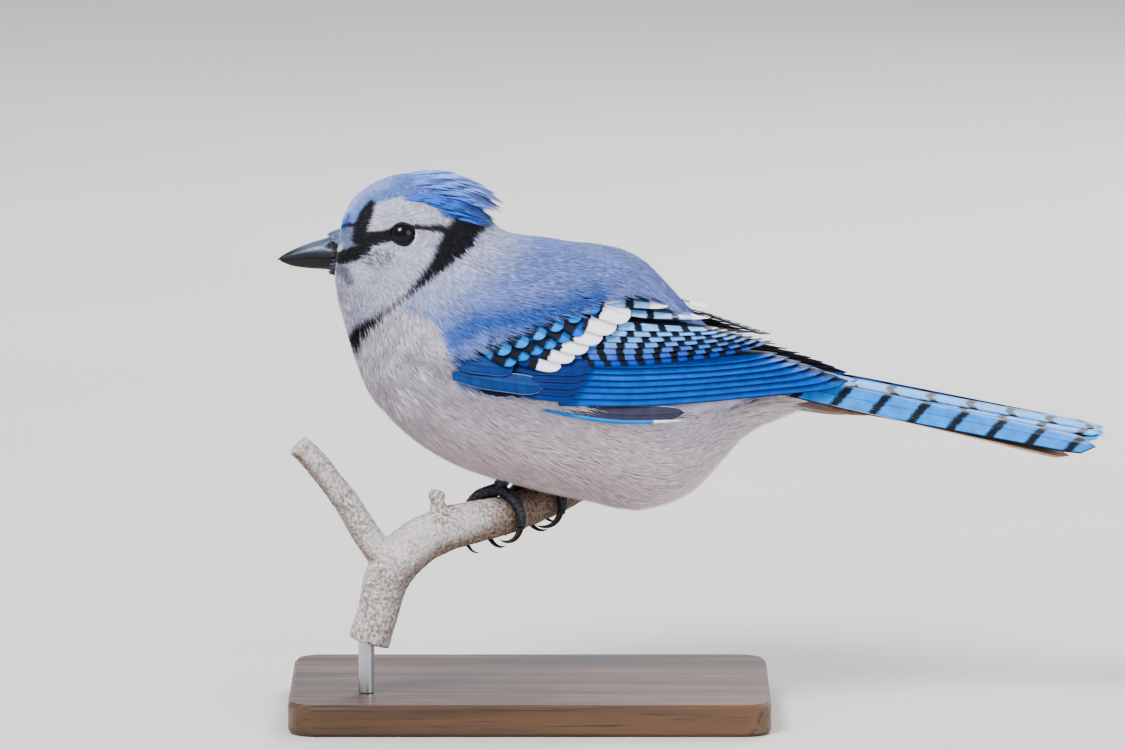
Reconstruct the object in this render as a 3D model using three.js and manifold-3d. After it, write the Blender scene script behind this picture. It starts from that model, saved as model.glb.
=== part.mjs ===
// A blue jay, life size, gripping a cut length of forked branch that a plain stand holds.
// Millimetres, +Z up. The bird faces -X and its left side faces -Y.
// The origin is the centre of the stand's underside.

import * as THREE from "three";
import { mergeVertices } from "three/addons/utils/BufferGeometryUtils.js";
import Module from "manifold-3d";

const wasm = await Module();
wasm.setup();

const V = (x, y, z) => new THREE.Vector3(x, y, z);
const UP = V(0, 0, 1);
const LEFT = -1; // the sign of Y on the bird's left side
const RIGHT = 1;

// Driving sizes
const GAP = 0.3; // between pieces that touch
const SECTION_POWER = 2.25; // the roundness of the body's sections, 2 for an ellipse
const BODY_SIDES = 24;
const VANE_THICKNESS = 0.6;
const EYE = { centre: V(-39.6, 0, 153), ball: 4.6, opening: 3.6, sunk: 0.2, lid: 0.75 };
const BILL_BASE_X = -56;
const MOUTH_Z = 144.3;

// The body from the bill's base to the tail's root. Each station is a tilted section:
// its top X and Z, its bottom X and Z, and its half width.
const BODY = [
  [-59.2, 152.6, -61.0, 140.3, 5.2],
  [-57.9, 157.3, -60.6, 137.6, 8.0],
  [-54.8, 162.3, -60.0, 134.8, 10.4],
  [-48.5, 167.0, -59.4, 131.3, 12.6],
  [-40.7, 169.6, -58.6, 128.2, 14.2],
  [-31.5, 169.6, -57.6, 124.8, 15.4],
  [-23.0, 166.2, -56.7, 121.6, 16.4],
  [-17.0, 161.0, -55.7, 118.5, 17.8],
  [-12.7, 155.8, -54.7, 115.1, 20.0],
  [-9.2, 152.4, -53.2, 110.7, 23.0],
  [-4.7, 150.6, -50.6, 103.5, 26.6],
  [1.6, 149.8, -45.0, 95.7, 29.8],
  [9.4, 148.6, -34.2, 86.3, 33.0],
  [18.8, 145.9, -20.3, 78.6, 35.0],
  [26.8, 141.8, -3.1, 73.4, 36.0],
  [34.8, 136.0, 15.7, 69.2, 35.2],
  [42.6, 129.6, 34.4, 66.0, 32.4],
  [50.2, 123.6, 50.4, 71.6, 27.4],
  [57.9, 118.2, 60.1, 81.6, 21.0],
  [65.7, 114.4, 67.6, 89.6, 15.4],
  [75.1, 110.6, 78.3, 95.2, 11.2],
  [84.5, 107.6, 87.6, 97.6, 8.6],
];

// Lengths of the body, from one station to another
const HEAD_LENGTH = { from: 0, to: 9.6, rings: 16 };
const TORSO_LENGTH = { from: 7, to: 20, rings: 18 };
const RUMP_LENGTH = { from: 19.15, to: 21, rings: 5 };

// The surface that the folded wings' feathers lie on, in the same form.
const WING_BED = [
  [-7.8, 151.4, -52.6, 108.2, 25.4],
  [1.6, 150.4, -45.4, 95.7, 31.2],
  [9.4, 149.4, -34.4, 85.3, 34.8],
  [18.8, 147.0, -20.3, 76.3, 36.8],
  [27.2, 143.2, -3.1, 71.6, 37.8],
  [35.4, 138.2, 15.7, 68.1, 36.8],
  [43.8, 133.0, 34.4, 67.5, 33.8],
  [53.2, 127.8, 51.6, 73.8, 28.8],
  [62.6, 122.8, 65.7, 81.6, 22.8],
  [73.6, 117.8, 81.4, 89.4, 16.4],
  [86.1, 113.6, 93.9, 94.1, 11.2],
  [103.3, 109.6, 108.0, 98.2, 7.0],
];

// Closed solids

function solid(points, faces) {
  const geometry = new THREE.BufferGeometry().setFromPoints(faces.flat().map((i) => points[i]));
  const merged = mergeVertices(geometry, 1e-4);
  const made = (index) =>
    new wasm.Manifold(
      new wasm.Mesh({
        numProp: 3,
        vertProperties: merged.attributes.position.array,
        triVerts: new Uint32Array(index),
      }),
    );
  const first = made(merged.index.array);
  if (first.volume() > 0) return first;
  return made(Array.from(merged.index.array).reverse());
}

function solidFromGeometry(geometry, matrix = new THREE.Matrix4()) {
  const flat = geometry.index ? geometry.toNonIndexed() : geometry;
  const position = flat.getAttribute("position").clone().applyMatrix4(matrix);
  const points = Array.from({ length: position.count }, (_, i) =>
    V(position.getX(i), position.getY(i), position.getZ(i)),
  );
  const faces = Array.from({ length: position.count / 3 }, (_, i) => [3 * i, 3 * i + 1, 3 * i + 2]);
  return solid(points, faces);
}

function average(points) {
  return points.reduce((sum, p) => sum.add(p), V(0, 0, 0)).divideScalar(points.length);
}

// Joins rings of equally many points, with a fan at each end.
function loft(rings) {
  const sides = rings[0].length;
  const points = rings.flat();
  const faces = [];
  for (let i = 0; i + 1 < rings.length; i++) {
    for (let j = 0; j < sides; j++) {
      const a = i * sides + j;
      const b = i * sides + ((j + 1) % sides);
      faces.push([a, b, b + sides], [a, b + sides, a + sides]);
    }
  }
  for (const end of [0, rings.length - 1]) {
    const centre = points.length;
    points.push(average(rings[end]));
    for (let j = 0; j < sides; j++) {
      const a = end * sides + j;
      const b = end * sides + ((j + 1) % sides);
      faces.push(end ? [a, b, centre] : [b, a, centre]);
    }
  }
  return solid(points, faces);
}

// A round tube through points with a radius at each, smoothed along its length. Its sides are
// laid out from a direction that the tube never runs along.
function tube(points, radii, { steps, sides, grow = 0, reference = V(1, -0.6, -0.2) }) {
  const curve = new THREE.CatmullRomCurve3(points);
  const sizes = new THREE.CatmullRomCurve3(radii.map((r, i) => V(i, r, 0)));
  const rings = [];
  for (let i = 0; i <= steps; i++) {
    const t = i / steps;
    const tangent = curve.getTangent(t);
    const across = new THREE.Vector3().crossVectors(reference, tangent).normalize();
    const other = new THREE.Vector3().crossVectors(tangent, across);
    const centre = curve.getPoint(t);
    const r = sizes.getPoint(t).y + grow;
    rings.push(
      Array.from({ length: sides }, (_, j) => {
        const a = (2 * Math.PI * j) / sides;
        return centre
          .clone()
          .addScaledVector(across, r * Math.cos(a))
          .addScaledVector(other, r * Math.sin(a));
      }),
    );
  }
  return loft(rings);
}

const union = (pieces) => pieces.reduce((sum, piece) => sum.add(piece));

// The largest closed surface, which drops loose scraps.
function largest(made) {
  return made.decompose().reduce((best, piece) => (piece.volume() > best.volume() ? piece : best));
}

// A surface of tilted sections
function sectionSurface(stations) {
  const curve = (pick) => new THREE.CatmullRomCurve3(stations.map(pick), false, "catmullrom", 0.5);
  const tops = curve(([x, z, , , w]) => V(x, w, z));
  const bottoms = curve(([, , x, z]) => V(x, 0, z));
  const last = stations.length - 1;

  // station u, counted from 0; the top, the bottom and the half width
  const at = (u) => {
    const top = tops.getPoint(u / last);
    const width = top.y;
    return { top: top.setY(0), bottom: bottoms.getPoint(u / last), width };
  };

  // angle 0 is the top, 90 degrees the bird's right side
  const point = (u, angle, grow = 0) => {
    const { top, bottom, width } = at(u);
    const half = new THREE.Vector3().subVectors(top, bottom).divideScalar(2);
    const reach = half.length();
    const power = (x) => Math.sign(x) * Math.abs(x) ** (2 / SECTION_POWER);
    return average([top, bottom])
      .addScaledVector(half, (power(Math.cos(angle)) * (reach + grow)) / reach)
      .add(V(0, power(Math.sin(angle)) * (width + grow), 0));
  };

  const piece = ({ from, to, rings }, sides, grow = 0) =>
    loft(
      Array.from({ length: rings + 1 }, (_, i) =>
        Array.from({ length: sides }, (_, j) =>
          point(from + ((to - from) * i) / rings, (2 * Math.PI * j) / sides, grow),
        ),
      ),
    );

  // The half width where a line along Y through X and Z meets the surface, or 0 outside it.
  const halfWidth = (x, z) => {
    const side = (u) => {
      const { top, bottom } = at(u);
      return (bottom.x - top.x) * (z - top.z) - (bottom.z - top.z) * (x - top.x);
    };
    const coarse = 60; // steps along the surface, each halved until the line is met
    const halvings = 24;
    for (let i = 0; i < coarse; i++) {
      let low = (last * i) / coarse;
      let high = (last * (i + 1)) / coarse;
      const start = Math.sign(side(low));
      if (start === Math.sign(side(high))) continue;
      for (let k = 0; k < halvings; k++) {
        const middle = (low + high) / 2;
        if (Math.sign(side(middle)) === start) low = middle;
        else high = middle;
      }
      const { top, bottom, width } = at(low);
      const half = new THREE.Vector3().subVectors(top, bottom).divideScalar(2);
      const height = V(x, 0, z).sub(average([top, bottom])).dot(half) / half.lengthSq();
      if (Math.abs(height) > 1) return 0;
      return width * (1 - Math.abs(height) ** SECTION_POWER) ** (1 / SECTION_POWER);
    }
    return 0;
  };

  // The point on one side at X and Z, and the outward normal there.
  const sidePoint = (x, z, side) => {
    const step = 0.6;
    const y = halfWidth(x, z);
    const slopeX = (halfWidth(x + step, z) - halfWidth(x - step, z)) / (2 * step);
    const slopeZ = (halfWidth(x, z + step) - halfWidth(x, z - step)) / (2 * step);
    return { point: V(x, side * y, z), normal: V(-slopeX, side, -slopeZ).normalize() };
  };

  return { point, piece, sidePoint };
}

const body = sectionSurface(BODY);
const wingBed = sectionSurface(WING_BED);

// Feathers

// Shares of the length and of the width, from root to tip
const LONG_OUTLINE = [
  [0, 0.5],
  [0.3, 0.9],
  [0.65, 1],
  [0.91, 0.7],
  [1, 0.14],
];
const SHORT_OUTLINE = [
  [0, 0.55],
  [0.45, 1],
  [0.84, 0.78],
  [1, 0.22],
];

// A closed thin vane. frameAt gives the shaft's point, the outward normal and the direction
// across at a share of the length. tilt lifts the edge that lies along +across. inner is the
// share of the width on the other side of the shaft. A ridged vane stands up along its shaft.
function vane(frameAt, { width, thickness = VANE_THICKNESS, tilt = 0, ridge = 0, inner = 0.5 }) {
  const half = thickness / 2;
  const columns = ridge > 0 ? [-inner, 0, 1 - inner] : [-inner, 1 - inner];
  const rows = (ridge > 0 ? LONG_OUTLINE : SHORT_OUTLINE).map(([share, spread]) => {
    const { point, normal, across } = frameAt(share);
    const slope = typeof tilt === "function" ? tilt(share) : tilt;
    const at = (column, face) => {
      const a = column * width * spread;
      const lift = face * half + slope * a + (column === 0 ? ridge * spread : 0);
      return point.clone().addScaledVector(across, a).addScaledVector(normal, lift);
    };
    return [1, -1].map((face) => columns.map((column) => at(column, face)));
  });
  const count = columns.length;
  const index = ([row, face, column]) => (row * 2 + face) * count + column;
  const faces = [];
  const quad = (a, b, c, d) => faces.push([a, b, c].map(index), [a, c, d].map(index));
  for (let row = 0; row + 1 < rows.length; row++) {
    for (let k = 0; k + 1 < count; k++) {
      quad([row, 0, k], [row, 0, k + 1], [row + 1, 0, k + 1], [row + 1, 0, k]);
      // the same diagonal as on the upper face, facing the other way
      const [a, b, c, d] = [[row, 1, k], [row, 1, k + 1], [row + 1, 1, k + 1], [row + 1, 1, k]];
      faces.push([a, c, b].map(index), [a, d, c].map(index));
    }
    const edge = count - 1;
    quad([row, 0, 0], [row + 1, 0, 0], [row + 1, 1, 0], [row, 1, 0]);
    quad([row, 0, edge], [row, 1, edge], [row + 1, 1, edge], [row + 1, 0, edge]);
  }
  const end = rows.length - 1;
  for (let k = 0; k + 1 < count; k++) {
    quad([0, 0, k], [0, 1, k], [0, 1, k + 1], [0, 0, k + 1]);
    quad([end, 0, k], [end, 0, k + 1], [end, 1, k + 1], [end, 1, k]);
  }
  return solid(rows.flat(2), faces);
}

const mix = (a, b, share) => a + (b - a) * share;
const mixPair = (a, b, share) => [mix(a[0], b[0], share), mix(a[1], b[1], share)];

// A feather on the side of the wing's bed, from root to tip in X and Z.
function wingVane(side, root, tip, { lift, liftTip = lift, bow = 0, ...shape }) {
  const frameAt = (share) => {
    const x = mix(root[0], tip[0], share);
    const z = mix(root[1], tip[1], share) + bow * Math.sin(Math.PI * share);
    const { point, normal } = wingBed.sidePoint(x, z, side);
    const ahead = V(tip[0] - root[0], 0, tip[1] - root[1]);
    const across = new THREE.Vector3().crossVectors(normal, ahead).normalize();
    if (across.z > 0) across.negate(); // +across is the lower edge
    return { point: point.addScaledVector(normal, mix(lift, liftTip, share)), normal, across };
  };
  return vane(frameAt, shape);
}

// The tiers of the folded wing. Each runs from its uppermost feather to its lowest: the first
// and the last one's root and tip in X and Z, their widths, and how far off the bed they lie.
const WING_TIERS = {
  primaries: {
    count: 7,
    roots: [[8, 118.6], [15, 103.6]],
    tips: [[78, 115.2], [99, 105.6]],
    widths: [6.2, 5.6],
    lift: 1.5,
    ridge: 0.2,
  },
  secondaries: {
    count: 5,
    roots: [[22, 129.8], [12, 118.7]],
    tips: [[61, 124.4], [75, 117.2]],
    widths: [6.6, 6.6],
    lift: 2.4,
    ridge: 0.2,
  },
  tertials: {
    count: 3,
    roots: [[27, 138], [23, 131.2]],
    tips: [[45, 133.4], [57, 127.8]],
    widths: [8, 8],
    lift: 3.0,
    ridge: 0.25,
  },
  greater_coverts: {
    count: 7,
    roots: [[19, 133.2], [-5, 117]],
    tips: [[31.4, 129.6], [10.6, 112.4]],
    widths: [5.4, 5.4],
    lift: 3.5,
  },
  median_coverts: {
    count: 6,
    roots: [[11, 136], [-14, 121.4]],
    tips: [[22, 133.2], [-2, 115.8]],
    widths: [5.2, 5.2],
    lift: 3.9,
  },
  primary_coverts: {
    count: 2,
    roots: [[-3, 111.6], [-4, 108]],
    tips: [[17, 108.8], [12, 104.8]],
    widths: [6, 5.5],
    lift: 2.7,
  },
  alula: {
    count: 2,
    roots: [[-23, 115.4], [-23, 111.8]],
    tips: [[-4.6, 113.9], [4.6, 108.4]],
    widths: [5.5, 6.2],
    lift: 3.4,
  },
};
// The outermost primary, whose edge shows below the others
const OUTER_PRIMARY = {
  root: [6, 103.8],
  tip: [51, 99.2],
  width: 5.4,
  lift: 0.6,
  bow: -1.4,
  tilt: 0.1,
};
const SHINGLE_STEP = 0.62; // how much of a feather's lower edge stands above the next one
const STEEPEST = 0.5;

// How steeply the feathers of a tier tilt to lie over one another without crossing
function shingleTilt({ count, roots, tips }) {
  const apart = (share) => {
    const first = mixPair(roots[0], tips[0], share);
    const last = mixPair(roots[1], tips[1], share);
    const ahead = V(tips[0][0] - roots[0][0], 0, tips[0][1] - roots[0][1]).normalize();
    const offset = V(last[0] - first[0], 0, last[1] - first[1]);
    return offset.cross(ahead).length() / (count - 1);
  };
  return (share) => Math.min(STEEPEST, SHINGLE_STEP / apart(share));
}

function tier(side, { count, roots, tips, widths, ...shape }) {
  return Array.from({ length: count }, (_, i) => {
    const share = i / (count - 1);
    return wingVane(side, mixPair(...roots, share), mixPair(...tips, share), {
      ...shape,
      width: mix(...widths, share),
      tilt: shingleTilt({ count, roots, tips }),
    });
  });
}

// The arm and hand under the small coverts, as a shell on the wing's bed. Each row is the bed's
// station, the upper and lower share from the top of the section, and the height off the bed.
const WING_SHELL = [
  [1.2, 0.41, 0.59, 0.6],
  [1.6, 0.32, 0.62, 2.2],
  [2.4, 0.25, 0.63, 3.4],
  [3.2, 0.2, 0.57, 3.6],
  [4.1, 0.15, 0.5, 3.1],
  [5.1, 0.12, 0.44, 2.2],
  [6.2, 0.12, 0.36, 1.0],
];
const SHELL_COLUMNS = 6;
const SHELL_DEPTH = 1.6; // below the bed, where the torso cuts it back

function wingShell(side) {
  const rings = WING_SHELL.map(([u, high, low, height]) => {
    const angle = (share) => side * Math.acos(1 - 2 * share);
    const row = (depth) =>
      Array.from({ length: SHELL_COLUMNS + 1 }, (_, k) => {
        const across = k / SHELL_COLUMNS;
        const crown = Math.sqrt(Math.max(0, 1 - (2 * across - 1) ** 2));
        return wingBed.point(u, angle(mix(high, low, across)), depth > 0 ? height * crown : depth);
      });
    return [...row(1), ...row(-SHELL_DEPTH).reverse()];
  });
  return loft(rings);
}

function makeWing(side, keepOut) {
  const { root, tip, ...shape } = OUTER_PRIMARY;
  const vanes = Object.values(WING_TIERS).flatMap((sizes) => tier(side, sizes));
  vanes.push(wingVane(side, root, tip, shape));
  return largest(union([wingShell(side), ...vanes]).subtract(keepOut));
}

// The tail
const TAIL = {
  root: V(68, 0, 110.4),
  slope: 10.7, // degrees below the level
  roll: 5, // degrees, the left side lower
  length: 114,
  pairs: 6,
  width: 15,
  step: 0.95, // each pair lies this much under the one before
  spread: 1.7, // each pair's tips stand this much further out
  shorten: 2.6, // each pair is this much shorter
};

// The tail's own directions: along it, across it towards the right side, and out of its top.
function tailFrame() {
  const slope = THREE.MathUtils.degToRad(TAIL.slope);
  const along = V(Math.cos(slope), 0, -Math.sin(slope));
  const roll = THREE.MathUtils.degToRad(TAIL.roll);
  const across = V(0, 1, 0).applyAxisAngle(along, roll);
  const normal = new THREE.Vector3().crossVectors(along, across);
  if (normal.z < 0) normal.negate();
  return { along, across, normal };
}

function tailVane(pair, side, options = {}) {
  const { along, across, normal } = tailFrame();
  const { length, lift, width, out, start = 0 } = {
    length: TAIL.length - TAIL.shorten * Math.max(0, pair - 1),
    lift: -TAIL.step * pair,
    width: TAIL.width,
    out: [1.6 + 0.5 * pair, 4 + TAIL.spread * pair],
    ...options,
  };
  const outward = across.clone().multiplyScalar(side);
  const frameAt = (share) => ({
    point: TAIL.root
      .clone()
      .addScaledVector(along, start + length * share)
      .addScaledVector(outward, mix(out[0], out[1], share))
      .addScaledVector(normal, lift),
    normal,
    across: outward,
  });
  // the outer web is narrower than the inner one and slopes down
  return vane(frameAt, { width, inner: 0.58, tilt: -0.05, ridge: 0.1 });
}

function makeTail() {
  const pieces = [body.piece(RUMP_LENGTH, 16)];
  for (let pair = 0; pair < TAIL.pairs; pair++) {
    pieces.push(tailVane(pair, LEFT), tailVane(pair, RIGHT));
  }
  const coverts = { width: 9, length: 34, lift: 0.9, start: 1, out: [2, 3.5] };
  const under = { width: 9, length: 40, lift: -9.5, start: 2, out: [2, 3] };
  for (const side of [LEFT, RIGHT]) {
    pieces.push(tailVane(0, side, coverts), tailVane(0, side, { ...coverts, length: 26, lift: 1.6 }));
    pieces.push(tailVane(0, side, under));
  }
  return union(pieces);
}

// The crest, lowered along the crown and nape. Each row: the station of its roots on the body,
// the tip's X and Z on the middle line, how many feathers, and how far roots and tips spread.
const CREST_ROWS = [
  { station: 3.7, tip: [-21, 169.6], count: 4, rootSpread: 0.6, tipSpread: 8.6, width: 6.6, lift: 0.5 },
  { station: 4.7, tip: [-13.5, 165.4], count: 5, rootSpread: 0.7, tipSpread: 8, width: 6.4, lift: 0 },
  { station: 5.5, tip: [-8.4, 160.6], count: 5, rootSpread: 0.78, tipSpread: 6, width: 5.6, lift: -0.5 },
];

function crestVane({ station, tip, rootSpread, tipSpread, width, lift }, share) {
  const swing = 2 * share - 1; // -1 at the left end of the row, 1 at the right
  const root = body.point(station, swing * rootSpread, -1.8);
  const end = V(tip[0] - 2.4 * swing * swing, swing * tipSpread, tip[1] - 6.5 * swing * swing);
  const ahead = new THREE.Vector3().subVectors(end, root).normalize();
  const outward = V(0.35, 0.75 * swing, 1).normalize();
  const across = new THREE.Vector3().crossVectors(ahead, outward).normalize();
  const normal = new THREE.Vector3().crossVectors(across, ahead);
  const frameAt = (t) => ({
    point: new THREE.Vector3()
      .lerpVectors(root, end, t)
      .addScaledVector(normal, lift * t + 2.2 * Math.sin(Math.PI * t)),
    normal,
    across,
  });
  return vane(frameAt, { width, tilt: 0 });
}

function crestVanes() {
  return CREST_ROWS.flatMap((row) =>
    Array.from({ length: row.count }, (_, i) => crestVane(row, i / (row.count - 1))),
  );
}

// The eyes sit with their lids' plane at the skin.
function eyePlace(side) {
  const { point, normal } = body.sidePoint(EYE.centre.x, EYE.centre.z, side);
  const inset = Math.sqrt(EYE.ball ** 2 - EYE.opening ** 2);
  return { centre: point.clone().addScaledVector(normal, -inset - EYE.sunk), rim: point, normal };
}

function ball(centre, radii, [across, around]) {
  const matrix = new THREE.Matrix4().makeTranslation(centre.x, centre.y, centre.z).scale(radii);
  return solidFromGeometry(new THREE.SphereGeometry(1, across, around), matrix);
}

function eyeBall(side, grow = 0) {
  const r = EYE.ball + grow;
  return ball(eyePlace(side).centre, V(r, r, r), [14, 9]);
}

function eyeLid(side) {
  const { rim, normal } = eyePlace(side);
  const turn = new THREE.Quaternion().setFromUnitVectors(UP, normal);
  const matrix = new THREE.Matrix4().compose(rim, turn, V(1, 1, 1));
  const ring = new THREE.TorusGeometry(EYE.opening + 0.6 * EYE.lid, EYE.lid, 5, 14);
  return solidFromGeometry(ring, matrix);
}

// The bill. Each row: X, the outline's height there and the half width. Both mandibles are half
// ellipses on the mouth's line.
const CULMEN = [
  [BILL_BASE_X, 151.8, 5.0],
  [-60, 151.0, 4.7],
  [-64.2, 149.6, 4.0],
  [-68.9, 148.2, 3.2],
  [-73.6, 146.3, 2.1],
  [-77.2, 144.4, 1.0],
  [-78.9, 143.0, 0.35],
];
const GONYS = [
  [BILL_BASE_X, 139.2, 4.7],
  [-60, 139.6, 4.4],
  [-64.2, 140.0, 3.7],
  [-68.9, 140.3, 2.9],
  [-73.6, 140.9, 1.8],
  [-76.6, 141.9, 0.8],
  [-78.0, 142.7, 0.3],
];
const NOSTRIL = { at: V(-61.6, 3.9, 147.9), radii: V(1.5, 1.1, 0.75) };

const mouthHeight = (x) => MOUTH_Z - 0.0075 * Math.max(0, -66 - x) ** 2;

function mandible(rows, sign, grow = 0) {
  const arc = 9;
  return loft(
    rows.map(([x, outline, width]) => {
      const edge = mouthHeight(x) + sign * (GAP / 2 - grow);
      const height = outline + sign * grow - edge;
      return Array.from({ length: arc + 1 }, (_, j) => {
        const a = (Math.PI * j) / arc;
        return V(x, (width + grow) * Math.cos(a), edge + height * Math.sin(a));
      });
    }),
  );
}

function makeUpperBill() {
  const holes = [LEFT, RIGHT].map((side) =>
    ball(NOSTRIL.at.clone().multiply(V(1, side, 1)), NOSTRIL.radii, [8, 6]),
  );
  return mandible(CULMEN, 1).subtract(union(holes));
}

// The perch: the stem's cut end, the fork, and the limb that runs back under the bird.
const PERCH_PATH = [
  [V(-50.2, -24, 26), 6.7],
  [V(-47, -24, 36.5), 6.5],
  [V(-44.6, -23.6, 45.8), 7.2],
  [V(-40.6, -23, 52), 7.6],
  [V(-34.4, -21.4, 57.2), 7.3],
  [V(-26.6, -18.5, 60.6), 7.0],
  [V(-18.8, -13.8, 61.9), 6.7],
  [V(-10.6, -7.6, 62.8), 6.3],
  [V(-3, 1, 63.8), 6.1],
  [V(4.4, 12, 65.2), 5.9],
  [V(10.6, 24, 66.2), 5.7],
  [V(15, 36, 66.6), 5.4],
];
const SIDE_BRANCH_PATH = [
  [V(-43.6, -23.6, 50), 5.0],
  [V(-50.2, -24.4, 59.2), 4.5],
  [V(-58.4, -25.4, 72.4), 4.0],
  [V(-66.6, -26.6, 83), 3.8],
  [V(-72.0, -27.4, 88.8), 3.7],
];
const KNOB_PATH = [
  [V(-28.2, -18.8, 62), 3.2],
  [V(-28.4, -18.9, 67), 2.6],
  [V(-28.8, -19, 69.6), 2.4],
  [V(-29, -19, 72), 2.7],
  [V(-28.9, -19, 73.2), 1.8],
];
const pathTube = (path, options) =>
  tube(
    path.map(([p]) => p),
    path.map(([, r]) => r),
    options,
  );
const mainLimb = (grow = 0) => pathTube(PERCH_PATH, { steps: 20, sides: 12, grow });

const STAND = { length: 150, width: 96, height: 10, corner: 9, bevel: 1.2, rod: 2.5, sunk: 7 };
const ROD_FOOT = V(-50.9, -24, STAND.height + GAP);
const ROD_TOP = V(-50.9, -24, PERCH_PATH[0][0].z + STAND.sunk);

function rod(grow = 0) {
  const height = ROD_TOP.z - ROD_FOOT.z + 2 * grow;
  const matrix = new THREE.Matrix4().makeRotationX(Math.PI / 2);
  matrix.setPosition(average([ROD_FOOT, ROD_TOP]));
  return solidFromGeometry(
    new THREE.CylinderGeometry(STAND.rod + grow, STAND.rod + grow, height, 20),
    matrix,
  );
}

function makeBase() {
  const [x, y] = [STAND.length / 2 - STAND.bevel, STAND.width / 2 - STAND.bevel];
  const r = STAND.corner - STAND.bevel;
  const plan = new THREE.Shape();
  plan.moveTo(-x + r, -y);
  plan.lineTo(x - r, -y);
  plan.absarc(x - r, -y + r, r, -Math.PI / 2, 0);
  plan.lineTo(x, y - r);
  plan.absarc(x - r, y - r, r, 0, Math.PI / 2);
  plan.lineTo(-x + r, y);
  plan.absarc(-x + r, y - r, r, Math.PI / 2, Math.PI);
  plan.lineTo(-x, -y + r);
  plan.absarc(-x + r, -y + r, r, Math.PI, 1.5 * Math.PI);
  const plate = new THREE.ExtrudeGeometry(plan, {
    depth: STAND.height - 2 * STAND.bevel,
    bevelThickness: STAND.bevel,
    bevelSize: STAND.bevel,
    bevelSegments: 1,
    curveSegments: 5,
  });
  return solidFromGeometry(plate, new THREE.Matrix4().makeTranslation(0, 0, STAND.bevel));
}

// The feet. A toe wraps the limb: along it in millimetres, and round it in degrees from the top,
// positive over the side that the bird faces.
const perchCurve = new THREE.CatmullRomCurve3(PERCH_PATH.map(([p]) => p));
const perchRadius = new THREE.CatmullRomCurve3(PERCH_PATH.map(([, r], i) => V(i, r, 0)));
const PERCH_LAST = PERCH_PATH.length - 1;

function roundPerch(station, degrees, height) {
  const t = station / PERCH_LAST;
  const tangent = perchCurve.getTangent(t);
  const front = new THREE.Vector3().crossVectors(UP, tangent).normalize();
  const top = new THREE.Vector3().crossVectors(tangent, front);
  const a = THREE.MathUtils.degToRad(degrees);
  const r = perchRadius.getPoint(t).y + height;
  return perchCurve
    .getPoint(t)
    .addScaledVector(top, r * Math.cos(a))
    .addScaledVector(front, r * Math.sin(a));
}

const TOE_RADIUS = 1.6;
const TOE_CLEAR = 0.45; // between a toe and the bark, with the bark's facets in it
// From the hub: the perch stations where the toe starts and ends, and the angle it reaches.
const TOES = [
  { name: "1", drift: 0.12, reach: -112, claw: -82, clawRadius: 1.15, rise: 0.4 },
  { name: "2", drift: 0.6, reach: 96, claw: 62, clawRadius: 0.95, rise: 1.2 },
  { name: "3", drift: 0.02, reach: 128, claw: 62, clawRadius: 1.0, rise: 2.0 },
  { name: "4", drift: -0.85, reach: 104, claw: 74, clawRadius: 0.95, rise: 2.4 },
];
const FEET = { left: { side: LEFT, station: 7.15 }, right: { side: RIGHT, station: 8.95 } };
const TOE_RADII = [1.75, 1.7, 1.6, 1.55, 1.3];
const CLAW_TAPER = [1, 0.9, 0.68, 0.42]; // shares of the claw's radius, before its point
const CLAW_POINT = 0.12;
const HUB_HEIGHT = 2.3;
const HUB_RADII = V(2.3, 2.3, 2.0);
const LEG = { height: 3.5, radii: [1.7, 1.6, 1.8], rise: V(6, 1.5, 9) };
const LIMB_AT_FEET = V(0.54, 0.83, 0.13);

function toePath({ station, side }, { drift, reach }) {
  // the right foot's toes drift the other way, so that both feet splay outward
  const end = station - drift * side;
  const low = TOE_RADIUS + TOE_CLEAR;
  return [0, 0.25, 0.5, 0.75, 1].map((t) =>
    roundPerch(mix(station, end, t ** 0.8), reach * t, t === 0 ? HUB_HEIGHT : low),
  );
}

function makeFoot(foot, grow = 0) {
  const toes = TOES.map((toe) =>
    tube(toePath(foot, toe), TOE_RADII, {
      steps: 6,
      sides: 7,
      grow,
      reference: LIMB_AT_FEET,
    }),
  );
  const hub = roundPerch(foot.station, 0, HUB_HEIGHT + 0.3);
  return union([...toes, ball(hub, HUB_RADII.clone().addScalar(grow), [8, 6])]);
}

function makeClaw(foot, toe, grow = 0) {
  const end = foot.station - toe.drift * foot.side;
  const low = TOE_RADIUS + TOE_CLEAR;
  const startShare = 3 / Math.abs(toe.reach); // clears the toe's end
  const path = [startShare, 0.3, 0.55, 0.8, 1].map((t) =>
    roundPerch(end, toe.reach + toe.claw * t, low - 0.2 + toe.rise * Math.sin(2.4 * t)),
  );
  const base = toe.clawRadius;
  return tube(path, [...CLAW_TAPER.map((share) => share * base), CLAW_POINT], {
    steps: 6,
    sides: 6,
    grow,
    reference: LIMB_AT_FEET,
  });
}

function makeLeg(foot, grow = 0) {
  const hub = roundPerch(foot.station, 0, LEG.height);
  const knee = hub.clone().add(LEG.rise.clone().multiply(V(1, foot.side, 1)));
  return tube([hub, average([hub, knee]), knee], LEG.radii, {
    steps: 4,
    sides: 8,
    grow,
    reference: LIMB_AT_FEET,
  });
}

// The parts in their places
const partings = {
  head: [V(-12.0, 0, 156), V(-54.4, 0, 114)],
  neck: [V(0.6, 0, 150), V(-46.0, 0, 97)],
  rump: [V(66.6, 0, 114), V(68.6, 0, 89)],
};

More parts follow.
